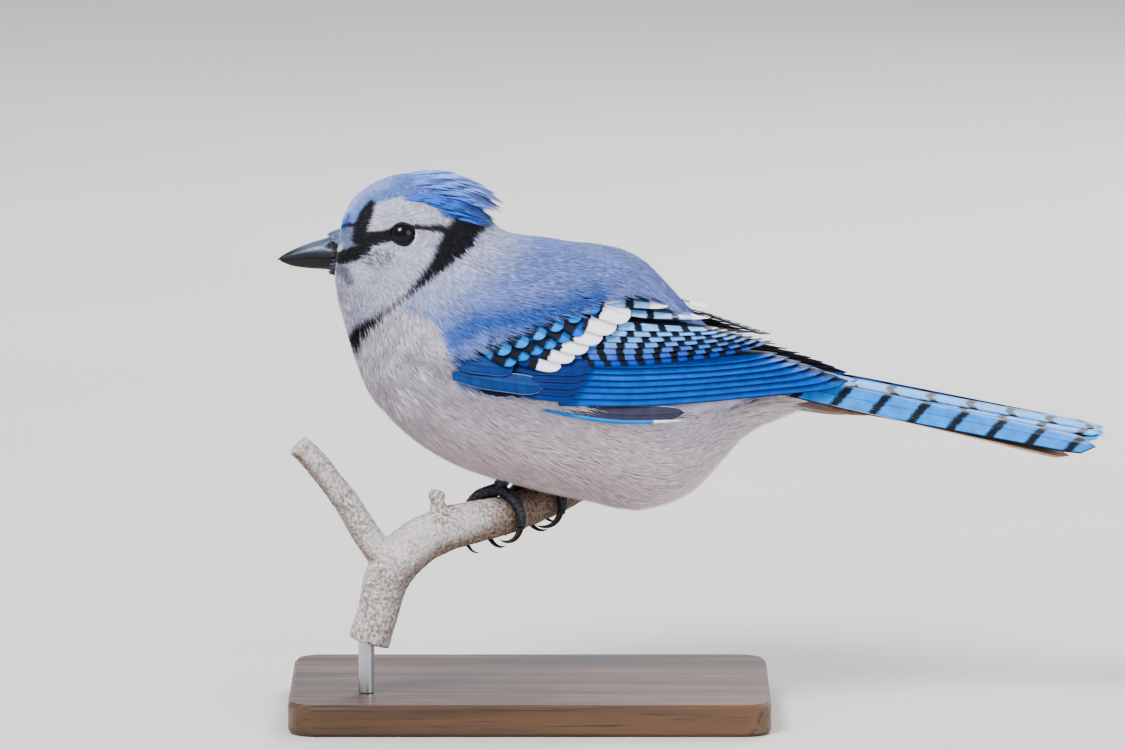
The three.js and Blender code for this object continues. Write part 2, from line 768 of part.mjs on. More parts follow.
function half([top, bottom], sign) {
  const along = new THREE.Vector3().subVectors(top, bottom).normalize();
  const normal = new THREE.Vector3().crossVectors(along, V(0, 1, 0)).multiplyScalar(sign);
  if (normal.x * sign < 0) normal.negate();
  const matrix = new THREE.Matrix4().makeBasis(
    normal,
    new THREE.Vector3().crossVectors(along, normal),
    along,
  );
  const reach = 200;
  matrix.setPosition(average([top, bottom]).addScaledVector(normal, reach / 2 + GAP / 2));
  return solidFromGeometry(new THREE.BoxGeometry(reach, reach, reach), matrix);
}

const feet = Object.values(FEET);
const feetClear = union(
  feet.flatMap((foot) => [
    makeFoot(foot, GAP),
    makeLeg(foot, GAP),
    ...TOES.map((toe) => makeClaw(foot, toe, GAP)),
  ]),
);
const perchClear = mainLimb(GAP);
const headSolid = body.piece(HEAD_LENGTH, BODY_SIDES);
const wholeTorso = body.piece(TORSO_LENGTH, BODY_SIDES);
const bills = union([mandible(CULMEN, 1, GAP), mandible(GONYS, -1, GAP)]);
const eyeSpace = union([LEFT, RIGHT].map((side) => eyeBall(side, GAP)));

const head = largest(
  headSolid
    .intersect(half(partings.head, -1))
    .add(union(crestVanes()))
    .add(eyeLid(LEFT))
    .add(eyeLid(RIGHT))
    .subtract(bills)
    .subtract(eyeSpace),
);
const headFront = { from: 0, to: 7, rings: 14 };
const headClear = union(crestVanes()).add(body.piece(headFront, BODY_SIDES, GAP));
const neck = largest(
  wholeTorso
    .intersect(half(partings.head, 1))
    .intersect(half(partings.neck, -1))
    .subtract(headClear),
);
const torso = largest(
  wholeTorso
    .intersect(half(partings.neck, 1))
    .intersect(half(partings.rump, -1))
    .subtract(feetClear)
    .subtract(perchClear),
);
const tail = largest(makeTail().intersect(half(partings.rump, 1)));
const wingKeepOut = union([
  body.piece(TORSO_LENGTH, BODY_SIDES, GAP),
  body.piece({ from: 19, to: 21, rings: 4 }, 20, 2 * GAP),
]);
const wings = { left: makeWing(LEFT, wingKeepOut), right: makeWing(RIGHT, wingKeepOut) };

const perch = mainLimb().subtract(rod(GAP));
const sideBranch = largest(
  pathTube(SIDE_BRANCH_PATH, { steps: 8, sides: 10 }).subtract(mainLimb(GAP)),
);
const perchWithKnob = perch.add(pathTube(KNOB_PATH, { steps: 4, sides: 7 }));

// Materials: colour, roughness and metalness
const look = (color, roughness = 0.8, metalness = 0) =>
  new THREE.MeshStandardMaterial({ color, roughness, metalness });
const MATERIALS = {
  crown: look(0x6f84cf),
  white: look(0xd9d6e2),
  blue: look(0x2f6fd0),
  bill: look(0x25272e, 0.35),
  eye: look(0x0c0a0c, 0.05),
  horn: look(0x18161a, 0.4),
  bark: look(0xa39a92, 0.9),
  wood: look(0x3b2a20, 0.5),
  steel: look(0x8e9196, 0.3, 1),
};

const model = new THREE.Group();
const bird = new THREE.Group();
const limb = new THREE.Group();
const stand = new THREE.Group();
model.add(bird, limb, stand);

function place(group, name, made, material) {
  const data = made.getMesh();
  const stride = data.numProp;
  const position = new Float32Array(data.numVert * 3);
  for (let i = 0; i < data.numVert; i++) {
    position.set(data.vertProperties.subarray(i * stride, i * stride + 3), i * 3);
  }
  const geometry = new THREE.BufferGeometry();
  geometry.setAttribute("position", new THREE.BufferAttribute(position, 3));
  geometry.setIndex(new THREE.BufferAttribute(data.triVerts, 1));
  const mesh = new THREE.Mesh(geometry, material);
  mesh.name = name;
  group.add(mesh);
}

place(bird, "head", head, MATERIALS.crown);
place(bird, "neck", neck, MATERIALS.white);
place(bird, "torso", torso, MATERIALS.white);
place(bird, "tail", tail, MATERIALS.blue);
place(bird, "bill_upper", makeUpperBill(), MATERIALS.bill);
place(bird, "bill_lower", mandible(GONYS, -1), MATERIALS.bill);
for (const [name, side] of [["left", LEFT], ["right", RIGHT]]) {
  place(bird, "eye_" + name, eyeBall(side), MATERIALS.eye);
  place(bird, "wing_" + name, wings[name], MATERIALS.blue);
}
for (const [name, foot] of Object.entries(FEET)) {
  const made = makeFoot(foot);
  place(bird, "foot_" + name, made, MATERIALS.horn);
  place(bird, "leg_" + name, largest(makeLeg(foot).subtract(makeFoot(foot, GAP))), MATERIALS.horn);
  for (const toe of TOES) {
    const claw = largest(makeClaw(foot, toe).subtract(makeFoot(foot, GAP)));
    place(bird, "claw_" + name + "_" + toe.name, claw, MATERIALS.horn);
  }
}
place(limb, "perch", perchWithKnob, MATERIALS.bark);
place(limb, "perch_side_branch", sideBranch, MATERIALS.bark);
place(stand, "stand_base", makeBase(), MATERIALS.wood);
place(stand, "stand_rod", rod(), MATERIALS.steel);

export default model;
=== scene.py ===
"""A blue jay, life size, gripping a cut length of forked branch that a plain stand holds.

Sizes are in millimetres until a mesh is made. The bird faces -X, its left side faces -Y.
"""

import math

import bpy
import numpy as np
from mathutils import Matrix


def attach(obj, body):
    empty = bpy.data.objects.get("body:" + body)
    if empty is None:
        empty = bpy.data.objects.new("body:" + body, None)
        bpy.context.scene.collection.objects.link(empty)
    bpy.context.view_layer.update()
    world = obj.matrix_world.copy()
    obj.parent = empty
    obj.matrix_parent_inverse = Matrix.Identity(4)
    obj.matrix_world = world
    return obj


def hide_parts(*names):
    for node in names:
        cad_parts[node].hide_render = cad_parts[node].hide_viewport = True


MM = 0.001
LEFT = -1
RIGHT = 1
RANDOM = np.random.default_rng(11)

# The view, and how the photograph's pixels lie on the bird's middle plane
PHOTO_MM_PER_PIXEL = 0.313
PHOTO_ORIGIN_X = 530
PHOTO_LEVEL_Y = 492
PHOTO_LEVEL_Z = 70
CAMERA_ELEVATION = math.radians(8)
CAMERA_TARGET = (10.2, 0, 106.6)
CAMERA_DISTANCE = 3000
CAMERA_SPAN = 352

# The body's stations from the bill's base to the tail's root: the top X and Z, the bottom
# X and Z, and the half width
BODY = [
    (-59.2, 152.6, -61.0, 140.3, 5.2),
    (-57.9, 157.3, -60.6, 137.6, 8.0),
    (-54.8, 162.3, -60.0, 134.8, 10.4),
    (-48.5, 167.0, -59.4, 131.3, 12.6),
    (-40.7, 169.6, -58.6, 128.2, 14.2),
    (-31.5, 169.6, -57.6, 124.8, 15.4),
    (-23.0, 166.2, -56.7, 121.6, 16.4),
    (-17.0, 161.0, -55.7, 118.5, 17.8),
    (-12.7, 155.8, -54.7, 115.1, 20.0),
    (-9.2, 152.4, -53.2, 110.7, 23.0),
    (-4.7, 150.6, -50.6, 103.5, 26.6),
    (1.6, 149.8, -45.0, 95.7, 29.8),
    (9.4, 148.6, -34.2, 86.3, 33.0),
    (18.8, 145.9, -20.3, 78.6, 35.0),
    (26.8, 141.8, -3.1, 73.4, 36.0),
    (34.8, 136.0, 15.7, 69.2, 35.2),
    (42.6, 129.6, 34.4, 66.0, 32.4),
    (50.2, 123.6, 50.4, 71.6, 27.4),
    (57.9, 118.2, 60.1, 81.6, 21.0),
    (65.7, 114.4, 67.6, 89.6, 15.4),
    (75.1, 110.6, 78.3, 95.2, 11.2),
    (84.5, 107.6, 87.6, 97.6, 8.6),
]
# The surface that the folded wings' feathers lie on, in the same form
WING_BED = [
    (-7.8, 151.4, -52.6, 108.2, 25.4),
    (1.6, 150.4, -45.4, 95.7, 31.2),
    (9.4, 149.4, -34.4, 85.3, 34.8),
    (18.8, 147.0, -20.3, 76.3, 36.8),
    (27.2, 143.2, -3.1, 71.6, 37.8),
    (35.4, 138.2, 15.7, 68.1, 36.8),
    (43.8, 133.0, 34.4, 67.5, 33.8),
    (53.2, 127.8, 51.6, 73.8, 28.8),
    (62.6, 122.8, 65.7, 81.6, 22.8),
    (73.6, 117.8, 81.4, 89.4, 16.4),
    (86.1, 113.6, 93.9, 94.1, 11.2),
    (103.3, 109.6, 108.0, 98.2, 7.0),
]
SECTION_POWER = 2.25
BODY_END = len(BODY) - 1

# Colours as the surface's own, in linear light, with painted light and shade where said below
BLACK = (0.012, 0.012, 0.018)
CROWN = (0.24, 0.36, 0.78)
CREST_LOW = (0.05, 0.16, 0.60)
FOREHEAD = (0.40, 0.50, 0.84)
BROW = (0.78, 0.77, 0.90)
CHEEK = (0.72, 0.72, 0.87)
# The throat's pale colour, greyed by painted shade under the head
THROAT_WITH_SHADE = (0.60, 0.58, 0.74)
# Painted shade on the chin, under the bill
CHIN_SHADE = (0.10, 0.09, 0.16)
CHIN_TUFT = (0.10, 0.085, 0.13)
NASAL = (0.22, 0.27, 0.42)
NAPE = (0.72, 0.73, 0.91)
MANTLE = (0.31, 0.41, 0.80)
SHOULDER = (0.03, 0.15, 0.58)
RUMP = (0.10, 0.25, 0.66)
BREAST = (0.76, 0.70, 0.80)
# The belly's whitish colour, warmed pink by painted light reflected from the ground
BELLY_WITH_WARM_BOUNCE = (0.90, 0.76, 0.78)
VENT = (0.86, 0.77, 0.76)
WING_BLUE = (0.003, 0.105, 0.50)
WING_DEEP = (0.002, 0.025, 0.17)
WING_SHADE = (0.003, 0.006, 0.022)
WING_PALE = (0.32, 0.58, 0.88)
FEATHER_GREY = (0.045, 0.045, 0.08)
TAIL_BLUE = (0.09, 0.36, 0.80)
# The tail's grey underside, painted brown by warm reflected light
TAIL_UNDER_WARM_BOUNCE = (0.42, 0.25, 0.15)
WHITE = (0.93, 0.93, 0.95)


# Curves and surfaces

def smooth_rows(rows, stations):
    """Numbers on a smooth curve through the rows, at stations counted from 0."""
    rows = np.asarray(rows, float)
    padded = np.vstack([2 * rows[0] - rows[1], rows, 2 * rows[-1] - rows[-2]])
    stations = np.clip(stations, 0, len(rows) - 1)
    first = np.minimum(np.asarray(stations).astype(int), len(rows) - 2)
    t = (stations - first)[..., None]
    a, b, c, d = (padded[first + k] for k in range(4))
    cubic = 3 * b - a - 3 * c + d
    square = 2 * a - 5 * b + 4 * c - d
    return 0.5 * (2 * b + (c - a) * t + square * t**2 + cubic * t**3)


def unit(vectors):
    return vectors / np.maximum(np.linalg.norm(vectors, axis=-1, keepdims=True), 1e-9)


def rounded(value):
    return np.sign(value) * np.abs(value) ** (2 / SECTION_POWER)


def smooth_step(value, low, high):
    t = np.clip((value - low) / (high - low), 0, 1)
    return t * t * (3 - 2 * t)


def between(ends, share):
    return ends[0] + (ends[1] - ends[0]) * share


def surface(rows, station, angle, grow=0.0):
    """Points of a surface of tilted sections: angle 0 is the top, 90 degrees the right side."""
    top_x, top_z, low_x, low_z, width = np.moveaxis(smooth_rows(rows, station), -1, 0)
    half_x = (top_x - low_x) / 2
    half_z = (top_z - low_z) / 2
    reach = np.hypot(half_x, half_z)
    height = rounded(np.cos(angle)) * (reach + grow) / reach
    x = (top_x + low_x) / 2 + half_x * height
    z = (top_z + low_z) / 2 + half_z * height
    return np.stack([x, rounded(np.sin(angle)) * (width + grow), z], -1)


def half_width(rows, x, z):
    """The half width where lines along Y through x and z meet the surface, 0 outside it."""
    def side(station):
        top_x, top_z, low_x, low_z, _ = np.moveaxis(smooth_rows(rows, station), -1, 0)
        return (low_x - top_x) * (z - top_z) - (low_z - top_z) * (x - top_x)

    last = len(rows) - 1
    steps = np.linspace(0, last, 60)
    signs = np.stack([np.sign(side(np.full_like(x, step))) for step in steps])
    change = np.argmax(signs[1:] != signs[:-1], axis=0)
    found = np.any(signs[1:] != signs[:-1], axis=0)
    low, high = steps[change], steps[change + 1]
    start = np.sign(side(low))
    for _ in range(18):
        middle = (low + high) / 2
        same = np.sign(side(middle)) == start
        low, high = np.where(same, middle, low), np.where(same, high, middle)
    top_x, top_z, low_x, low_z, width = np.moveaxis(smooth_rows(rows, low), -1, 0)
    half_x, half_z = (top_x - low_x) / 2, (top_z - low_z) / 2
    rise = (x - (top_x + low_x) / 2) * half_x + (z - (top_z + low_z) / 2) * half_z
    height = np.clip(np.abs(rise / (half_x**2 + half_z**2)), 0, 1)
    return np.where(found, width * (1 - height**SECTION_POWER) ** (1 / SECTION_POWER), 0)


def side_points(rows, x, z, side):
    """Points on one side at x and z, with the outward normals there."""
    step = 0.6
    y = half_width(rows, x, z)
    slope_x = (half_width(rows, x + step, z) - half_width(rows, x - step, z)) / (2 * step)
    slope_z = (half_width(rows, x, z + step) - half_width(rows, x, z - step)) / (2 * step)
    points = np.stack([x, side * y, z], -1)
    return points, unit(np.stack([-slope_x, np.full_like(x, side), -slope_z], -1))


# Markings, placed where the photograph shows them on the near side and mirrored

def seen_at(points):
    """The photograph's pixel at which each point's near-side twin is seen."""
    seen_z = points[..., 2] - math.sin(CAMERA_ELEVATION) * np.abs(points[..., 1])
    x = PHOTO_ORIGIN_X + points[..., 0] / PHOTO_MM_PER_PIXEL
    y = PHOTO_LEVEL_Y - (seen_z - PHOTO_LEVEL_Z) / PHOTO_MM_PER_PIXEL
    return np.stack([x, y], -1)


def segment_distance(at, start, end):
    """Distances from points to a segment, and the share along it of the nearest place."""
    start, end = np.asarray(start, float), np.asarray(end, float)
    along = end - start
    share = np.clip(((at - start) @ along) / max(along @ along, 1e-9), 0, 1)
    return np.linalg.norm(at - start - share[..., None] * along, axis=-1), share


def stroke(at, path, soft):
    """1 on a stroke whose width varies along its path of (x, y, radius), 0 away from it."""
    best = np.full(at.shape[:-1], 1e9)
    for (x0, y0, r0), (x1, y1, r1) in zip(path, path[1:]):
        distance, share = segment_distance(at, (x0, y0), (x1, y1))
        best = np.minimum(best, distance - (r0 + (r1 - r0) * share))
    return smooth_step(-best, -soft, soft)


def depth_inside(at, outline):
    """How far points lie inside an outline, negative outside."""
    inside = np.zeros(at.shape[:-1], bool)
    nearest = np.full(at.shape[:-1], 1e9)
    for start, end in zip(outline, outline[1:] + outline[:1]):
        nearest = np.minimum(nearest, segment_distance(at, start, end)[0])
        crosses = (start[1] > at[..., 1]) != (end[1] > at[..., 1])
        rise = (end[1] - start[1]) or 1e-9
        edge = start[0] + (at[..., 1] - start[1]) * (end[0] - start[0]) / rise
        inside ^= crosses & (at[..., 0] < edge)
    return np.where(inside, nearest, -nearest)


CROWN_OUTLINE = [
    (330, 233), (346, 230), (358, 226), (366, 214), (374, 205), (386, 200), (402, 196),
    (424, 201), (438, 209), (445, 217), (460, 221), (476, 225), (492, 221), (512, 206),
    (500, 185), (470, 165), (430, 155), (380, 160), (345, 185), (322, 222),
]
BROW_OUTLINE = [
    (371, 227), (377, 213), (386, 203), (400, 198), (420, 202), (437, 209), (445, 220),
    (440, 226), (425, 226), (410, 223), (393, 227), (380, 232),
]
FACE_OUTLINE = [
    (325, 262), (352, 250), (366, 246), (395, 245), (443, 231), (448, 246), (436, 268),
    (418, 288), (400, 303), (366, 329), (352, 346), (333, 320), (322, 285),
]
BACK_OUTLINE = [
    (500, 222), (478, 240), (452, 256), (434, 279), (414, 298), (404, 312), (424, 317),
    (444, 332), (452, 356), (462, 392), (500, 398), (560, 400), (620, 410), (700, 402),
    (760, 397), (800, 388), (850, 384), (900, 365), (850, 320), (700, 240), (600, 200),
    (540, 205),
]
WING_OUTLINE = [
    (458, 360), (470, 357), (484, 354), (496, 347), (515, 337), (535, 326), (561, 318),
    (594, 311), (599, 303), (622, 297), (645, 292), (700, 300), (760, 330), (845, 370),
    (842, 384), (760, 398), (700, 410), (655, 418), (610, 411), (585, 405), (560, 398),
    (520, 396), (482, 391), (462, 383),
]
NAPE_BAND = [(495, 240, 24), (455, 272, 20), (415, 305, 8)]
SHOULDER_BAND = [(450, 345, 8), (480, 325, 9), (540, 318, 10), (600, 298, 9)]
LOW_FACE = [(345, 275, 12), (352, 300, 13), (358, 325, 6)]
FOREHEAD_BAND = [(345, 212, 8), (365, 192, 6), (390, 182, 4)]
CREST_EDGE = [(455, 214, 5), (485, 212, 7)]
# A line along the middle of the folded wing: its height at one place, and its fall
WING_MIDDLE = (450, 365, 0.038)
BROW_BAR = [(373, 203, 4), (368, 214, 7), (363, 226, 7.5), (361, 238, 7)]
LORE = [(361, 238, 7), (374, 239, 8), (386, 236, 6), (397, 234, 7)]
GAPE = [(328, 259, 5), (345, 257, 7.5), (358, 253, 7.5), (369, 247, 5)]
FOREHEAD_EDGE = [(338, 226, 1.2), (350, 224, 1.8), (362, 224, 3)]
EYE_LINE = [(408, 227, 2.6), (425, 228, 2.2), (444, 229, 4)]
NECKLACE = [
    (492, 217, 5), (480, 223, 9), (467, 229, 15), (460, 239, 16), (452, 250, 13),
    (445, 259, 10), (437, 268, 7), (427, 279, 4.5), (415, 291, 3), (403, 302, 1.6),
    (384, 317, 1.3),
]
BREAST_PATCH = [(385, 316, 1.5), (373, 324, 4.5), (362, 333, 7.5), (355, 341, 7), (357, 351, 4)]
NASAL_TUFT = [(328, 241, 12), (345, 227, 9), (353, 233, 9), (351, 246, 7)]
# Where the painted shade under the bill lies on the chin
SHADE_UNDER_BILL = [(330, 268, 4), (345, 271, 6), (352, 284, 3)]
CHEEK_BARS = [(368, 258, 9), (390, 258, 6)]
FOREHEAD_SPOTS = [(345, 227, 2.5), (350, 214, 3)]
BELLY_Y = (380, 470)
VENT_X = (690, 780)
RUMP_X = (660, 760)
CHEEK_BAR_WAVE = (0.95, 0.65)
# Where the wing's lower edge is bare of the coat
BARE_EDGE_X = (560, 600)
BARE_EDGE_Y = (385, 395)
BLACK_MARKS = (BROW_BAR, LORE, GAPE, FOREHEAD_EDGE, EYE_LINE, NECKLACE, BREAST_PATCH)
# Each outline with the depths between which its colour fades in
REGIONS = (
    (BACK_OUTLINE, (-4, 5)),
    (FACE_OUTLINE, (-2, 2)),
    (CROWN_OUTLINE, (-1.5, 1.5)),
    (BROW_OUTLINE, (-1.5, 1.5)),
)


def tinted(colours, colour, mask):
    mask = np.asarray(mask)[..., None]
    return colours * (1 - mask) + np.asarray(colour) * mask


def markings(points):
    """The plumage's colour at points on the body, laid on one over the other."""
    at = seen_at(points)
    x, y = at[..., 0], at[..., 1]
    back, face, crown, brow = (
        smooth_step(depth_inside(at, outline), *fade) for outline, fade in REGIONS)
    wave = np.sin(x * CHEEK_BAR_WAVE[0] + y * CHEEK_BAR_WAVE[1])
    layers = [
        # The lower body, warmed pink by painted light reflected from the ground
        (BELLY_WITH_WARM_BOUNCE, smooth_step(y, *BELLY_Y) * 0.9),
        (VENT, smooth_step(x, *VENT_X)),
        (MANTLE, back),
        (NAPE, back * stroke(at, NAPE_BAND, 28)),
        (SHOULDER, back * stroke(at, SHOULDER_BAND, 16)),
        (RUMP, back * smooth_step(x, *RUMP_X)),
        (CHEEK, face),
        # The throat: its own pale colour, greyed by painted shade under the head
        (THROAT_WITH_SHADE, face * stroke(at, LOW_FACE, 9) * 0.8),
        (CROWN, crown),
        (FOREHEAD, crown * stroke(at, FOREHEAD_BAND, 8)),
        (CREST_LOW, crown * stroke(at, CREST_EDGE, 8)),
        (BROW, brow),
        (BLACK, stroke(at, CHEEK_BARS, 4) * smooth_step(wave, -0.2, 0.5) * 0.85),
        (NASAL, stroke(at, NASAL_TUFT, 2)),
        (CREST_LOW, stroke(at, FOREHEAD_SPOTS, 2) * 0.8),
        # Painted shade on the chin, under the bill
        (CHIN_SHADE, stroke(at, SHADE_UNDER_BILL, 4) * 0.7),
    ]
    layers += [(BLACK, stroke(at, path, 1.4)) for path in BLACK_MARKS]
    colours = np.broadcast_to(np.asarray(BREAST), points.shape).copy()
    for colour, mask in layers:
        colours = tinted(colours, colour, mask)
    return colours


# Meshes

def make_piece(name, points, faces, colours=None, uv=None, layers=()):
    """A mesh object from points in millimetres. faces holds arrays of triangles or quads."""
    mesh = bpy.data.meshes.new(name)
    points = np.asarray(points, float).reshape(-1, 3)
    mesh.vertices.add(len(points))
    mesh.vertices.foreach_set("co", (points * MM).astype(np.float32).ravel())
    corners = np.concatenate([np.asarray(f).ravel() for f in faces]).astype(np.int32)
    sizes = np.concatenate([np.full(len(f), np.asarray(f).shape[1]) for f in faces])
    starts = np.concatenate([[0], np.cumsum(sizes)[:-1]]).astype(np.int32)
    mesh.loops.add(len(corners))
    mesh.loops.foreach_set("vertex_index", corners)
    mesh.polygons.add(len(sizes))
    mesh.polygons.foreach_set("loop_start", starts)
    mesh.polygons.foreach_set("use_smooth", np.ones(len(sizes), bool))
    mesh.update(calc_edges=True)
    tint = [] if colours is None else [("tint", colours)]
    for layer, values in [*layers, *tint]:
        made = mesh.attributes.new(layer, "FLOAT_COLOR", "POINT")
        made.data.foreach_set("color", with_alpha(values).ravel())
    for layer, values in (uv or {}).items():
        made = mesh.uv_layers.new(name=layer)
        made.uv.foreach_set("vector", np.asarray(values, np.float32)[corners].ravel())
    piece = bpy.data.objects.new(name, mesh)
    bpy.context.scene.collection.objects.link(piece)
    return piece


def with_alpha(values):
    values = np.asarray(values, np.float32).reshape(-1, np.asarray(values).shape[-1])
    if values.shape[1] == 4:
        return values
    return np.hstack([values, np.ones((len(values), 1), np.float32)])


def finish_piece(piece, material, slot, *nodes):
    piece.data.materials.append(material)
    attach(piece, "root")
    if nodes:
        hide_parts(*nodes)
    return piece


def ring_faces(rings, sides, closed=True):
    """Quads between rings of equally many points."""
    ring, side = np.meshgrid(np.arange(rings - 1), np.arange(sides if closed else sides - 1),
                             indexing="ij")
    a = ring * sides + side
    b = ring * sides + (side + 1) % sides
    return np.stack([a, b, b + sides, a + sides], -1).reshape(-1, 4)


def closed_faces(rings, sides):
    """Quads between the rings, and fans to two end points that come after their points."""
    side = np.arange(sides)
    following = (side + 1) % sides
    count = rings * sides
    last = count - sides
    first_cap = np.stack([following, side, np.full(sides, count)], -1)
    last_cap = np.stack([last + side, last + following, np.full(sides, count + 1)], -1)
    return [ring_faces(rings, sides), first_cap, last_cap]


def repeated(faces, size, count):
    """The same faces once for each of count shapes of size points."""
    faces = np.asarray(faces)
    offsets = (np.arange(count) * size)[:, None, None]
    return (faces + offsets).reshape(-1, faces.shape[-1])


def tube(centres, radii, sides, across, stretch=None):
    """Points and faces of a tube. across is a direction that it never runs along.

    stretch gives a factor for each ring and side.
    """
    centres = np.asarray(centres, float)
    tangent = unit(np.gradient(centres, axis=0))
    first = unit(np.cross(np.broadcast_to(across, tangent.shape), tangent))
    second = np.cross(tangent, first)
    angle = np.linspace(0, 2 * np.pi, sides, endpoint=False)
    size = np.asarray(radii)[:, None] * (1 if stretch is None else stretch)
    points = (centres[:, None]
              + first[:, None] * (size * np.cos(angle))[..., None]
              + second[:, None] * (size * np.sin(angle))[..., None])
    count = len(centres)
    points = np.vstack([points.reshape(-1, 3), centres[0], centres[-1]])
    return points, closed_faces(count, sides)


def joined(parts):
    """Puts several point and face sets into one."""
    points, quads, triangles, base = [], [], [], 0
    for part_points, part_faces in parts:
        for faces in part_faces:
            (quads if faces.shape[1] == 4 else triangles).append(faces + base)
        points.append(part_points)
        base += len(part_points)
    groups = [np.vstack(group) for group in (quads, triangles) if group]
    return np.vstack(points), groups


def tube_uv(count, sides, extra=2):
    """A bake layout for a tube's rings, with its cap points last."""
    ring, side = np.meshgrid(np.arange(count), np.arange(sides), indexing="ij")
    uv = np.stack([side / sides, ring / count], -1).reshape(-1, 2)
    return np.vstack([uv, np.full((extra, 2), 0.5)])


# Materials

class Shader:
    """A material whose nodes are made by calls that return sockets."""

    def __init__(self, name, **settings):
        self.material = bpy.data.materials.new(name)
        self.material.use_nodes = True
        self.tree = self.material.node_tree
        self.surface = self.tree.nodes["Principled BSDF"]
        self.set(**settings)

    def set(self, **values):
        for name, value in values.items():
            self.link(value, self.surface.inputs[name.replace("_", " ")])

    def link(self, value, socket):
        if isinstance(value, bpy.types.NodeSocket):
            self.tree.links.new(value, socket)
        elif isinstance(value, (tuple, list)) and len(value) == 3 and socket.type == "RGBA":
            socket.default_value = (*value, 1)
        else:
            socket.default_value = value

    def node(self, kind, inputs=(), **settings):
        made = self.tree.nodes.new(kind)
        for name, value in settings.items():
            setattr(made, name, value)
        for name, value in dict(inputs).items():
            self.link(value, made.inputs[name])
        return made

    def math(self, operation, *values):
        made = self.node("ShaderNodeMath", enumerate(values), operation=operation)
        return made.outputs[0]

    def plus(self, first, second):
        return self.math("ADD", first, second)

    def minus(self, first, second):
        return self.math("SUBTRACT", first, second)

    def times(self, first, second):
        return self.math("MULTIPLY", first, second)

    def mix(self, share, first, second):
        inputs = {0: share, 6: first, 7: second}
        return self.node("ShaderNodeMix", inputs, data_type="RGBA").outputs[2]

    def shaded(self, colour, bright):
        grey = self.node("ShaderNodeCombineColor", {0: bright, 1: bright, 2: bright}).outputs[0]
        inputs = {0: 1.0, 6: colour, 7: grey}
        return self.node("ShaderNodeMix", inputs, data_type="RGBA",
                         blend_type="MULTIPLY").outputs[2]

    def step(self, value, low, high, start=0.0, end=1.0):
        inputs = {0: value, 1: low, 2: high, 3: start, 4: end}
        made = self.node("ShaderNodeMapRange", inputs, interpolation_type="SMOOTHSTEP")
        return made.outputs[0]

    def place(self, scale=(1, 1, 1)):
        where = self.node("ShaderNodeTexCoord").outputs["Object"]
        return self.node("ShaderNodeMapping", {"Vector": where, "Scale": scale}).outputs[0]

    def noise(self, scale, detail=3, vector=None):
        inputs = {"Vector": vector or self.place(), "Scale": scale, "Detail": detail}
        return self.node("ShaderNodeTexNoise", inputs).outputs[0]

    def cells(self, scale, vector=None):
        inputs = {"Vector": vector or self.place(), "Scale": scale}
        return self.node("ShaderNodeTexVoronoi", inputs).outputs["Distance"]

    def layer(self, name):
        return self.node("ShaderNodeAttribute", attribute_name=name)

    def parts(self, colour):
        return self.node("ShaderNodeSeparateColor", {0: colour}).outputs

    def bump(self, height, distance, strength=1.0):
        inputs = {"Height": height, "Distance": distance, "Strength": strength}
        self.set(Normal=self.node("ShaderNodeBump", inputs).outputs[0])


def plumage_material():
    """Soft body feathers and the skin under them, coloured by their tint."""
    shader = Shader("plumage", Roughness=0.72, Sheen_Weight=0.25, Sheen_Roughness=0.4,
                    Specular_IOR_Level=0.25)
    tint = shader.layer("tint").outputs["Color"]
    where = shader.node("ShaderNodeUVMap", uv_map="Feather").outputs[0]
    barbs = shader.node("ShaderNodeMapping", {"Vector": where, "Scale": (9, 0.45, 1)}).outputs[0]
    strands = shader.noise(1, 2, barbs)
    cloud = shader.step(shader.noise(420, 3), 0.3, 0.7, 0.93, 1.07)
    bright = shader.times(cloud, shader.step(strands, 0.3, 0.7, 0.84, 1.14))
    shader.set(Base_Color=shader.shaded(tint, bright))
    shader.bump(strands, 0.00008, 0.5)
    return shader.material


BAR_COLOUR = (0.006, 0.007, 0.016)
INNER_WEB = (0.012, 0.012, 0.022)
PALE_RIM = (0.42, 0.52, 0.72)
DARK_RIM = (0.008, 0.008, 0.014)
SHAFT = (0.010, 0.010, 0.014)


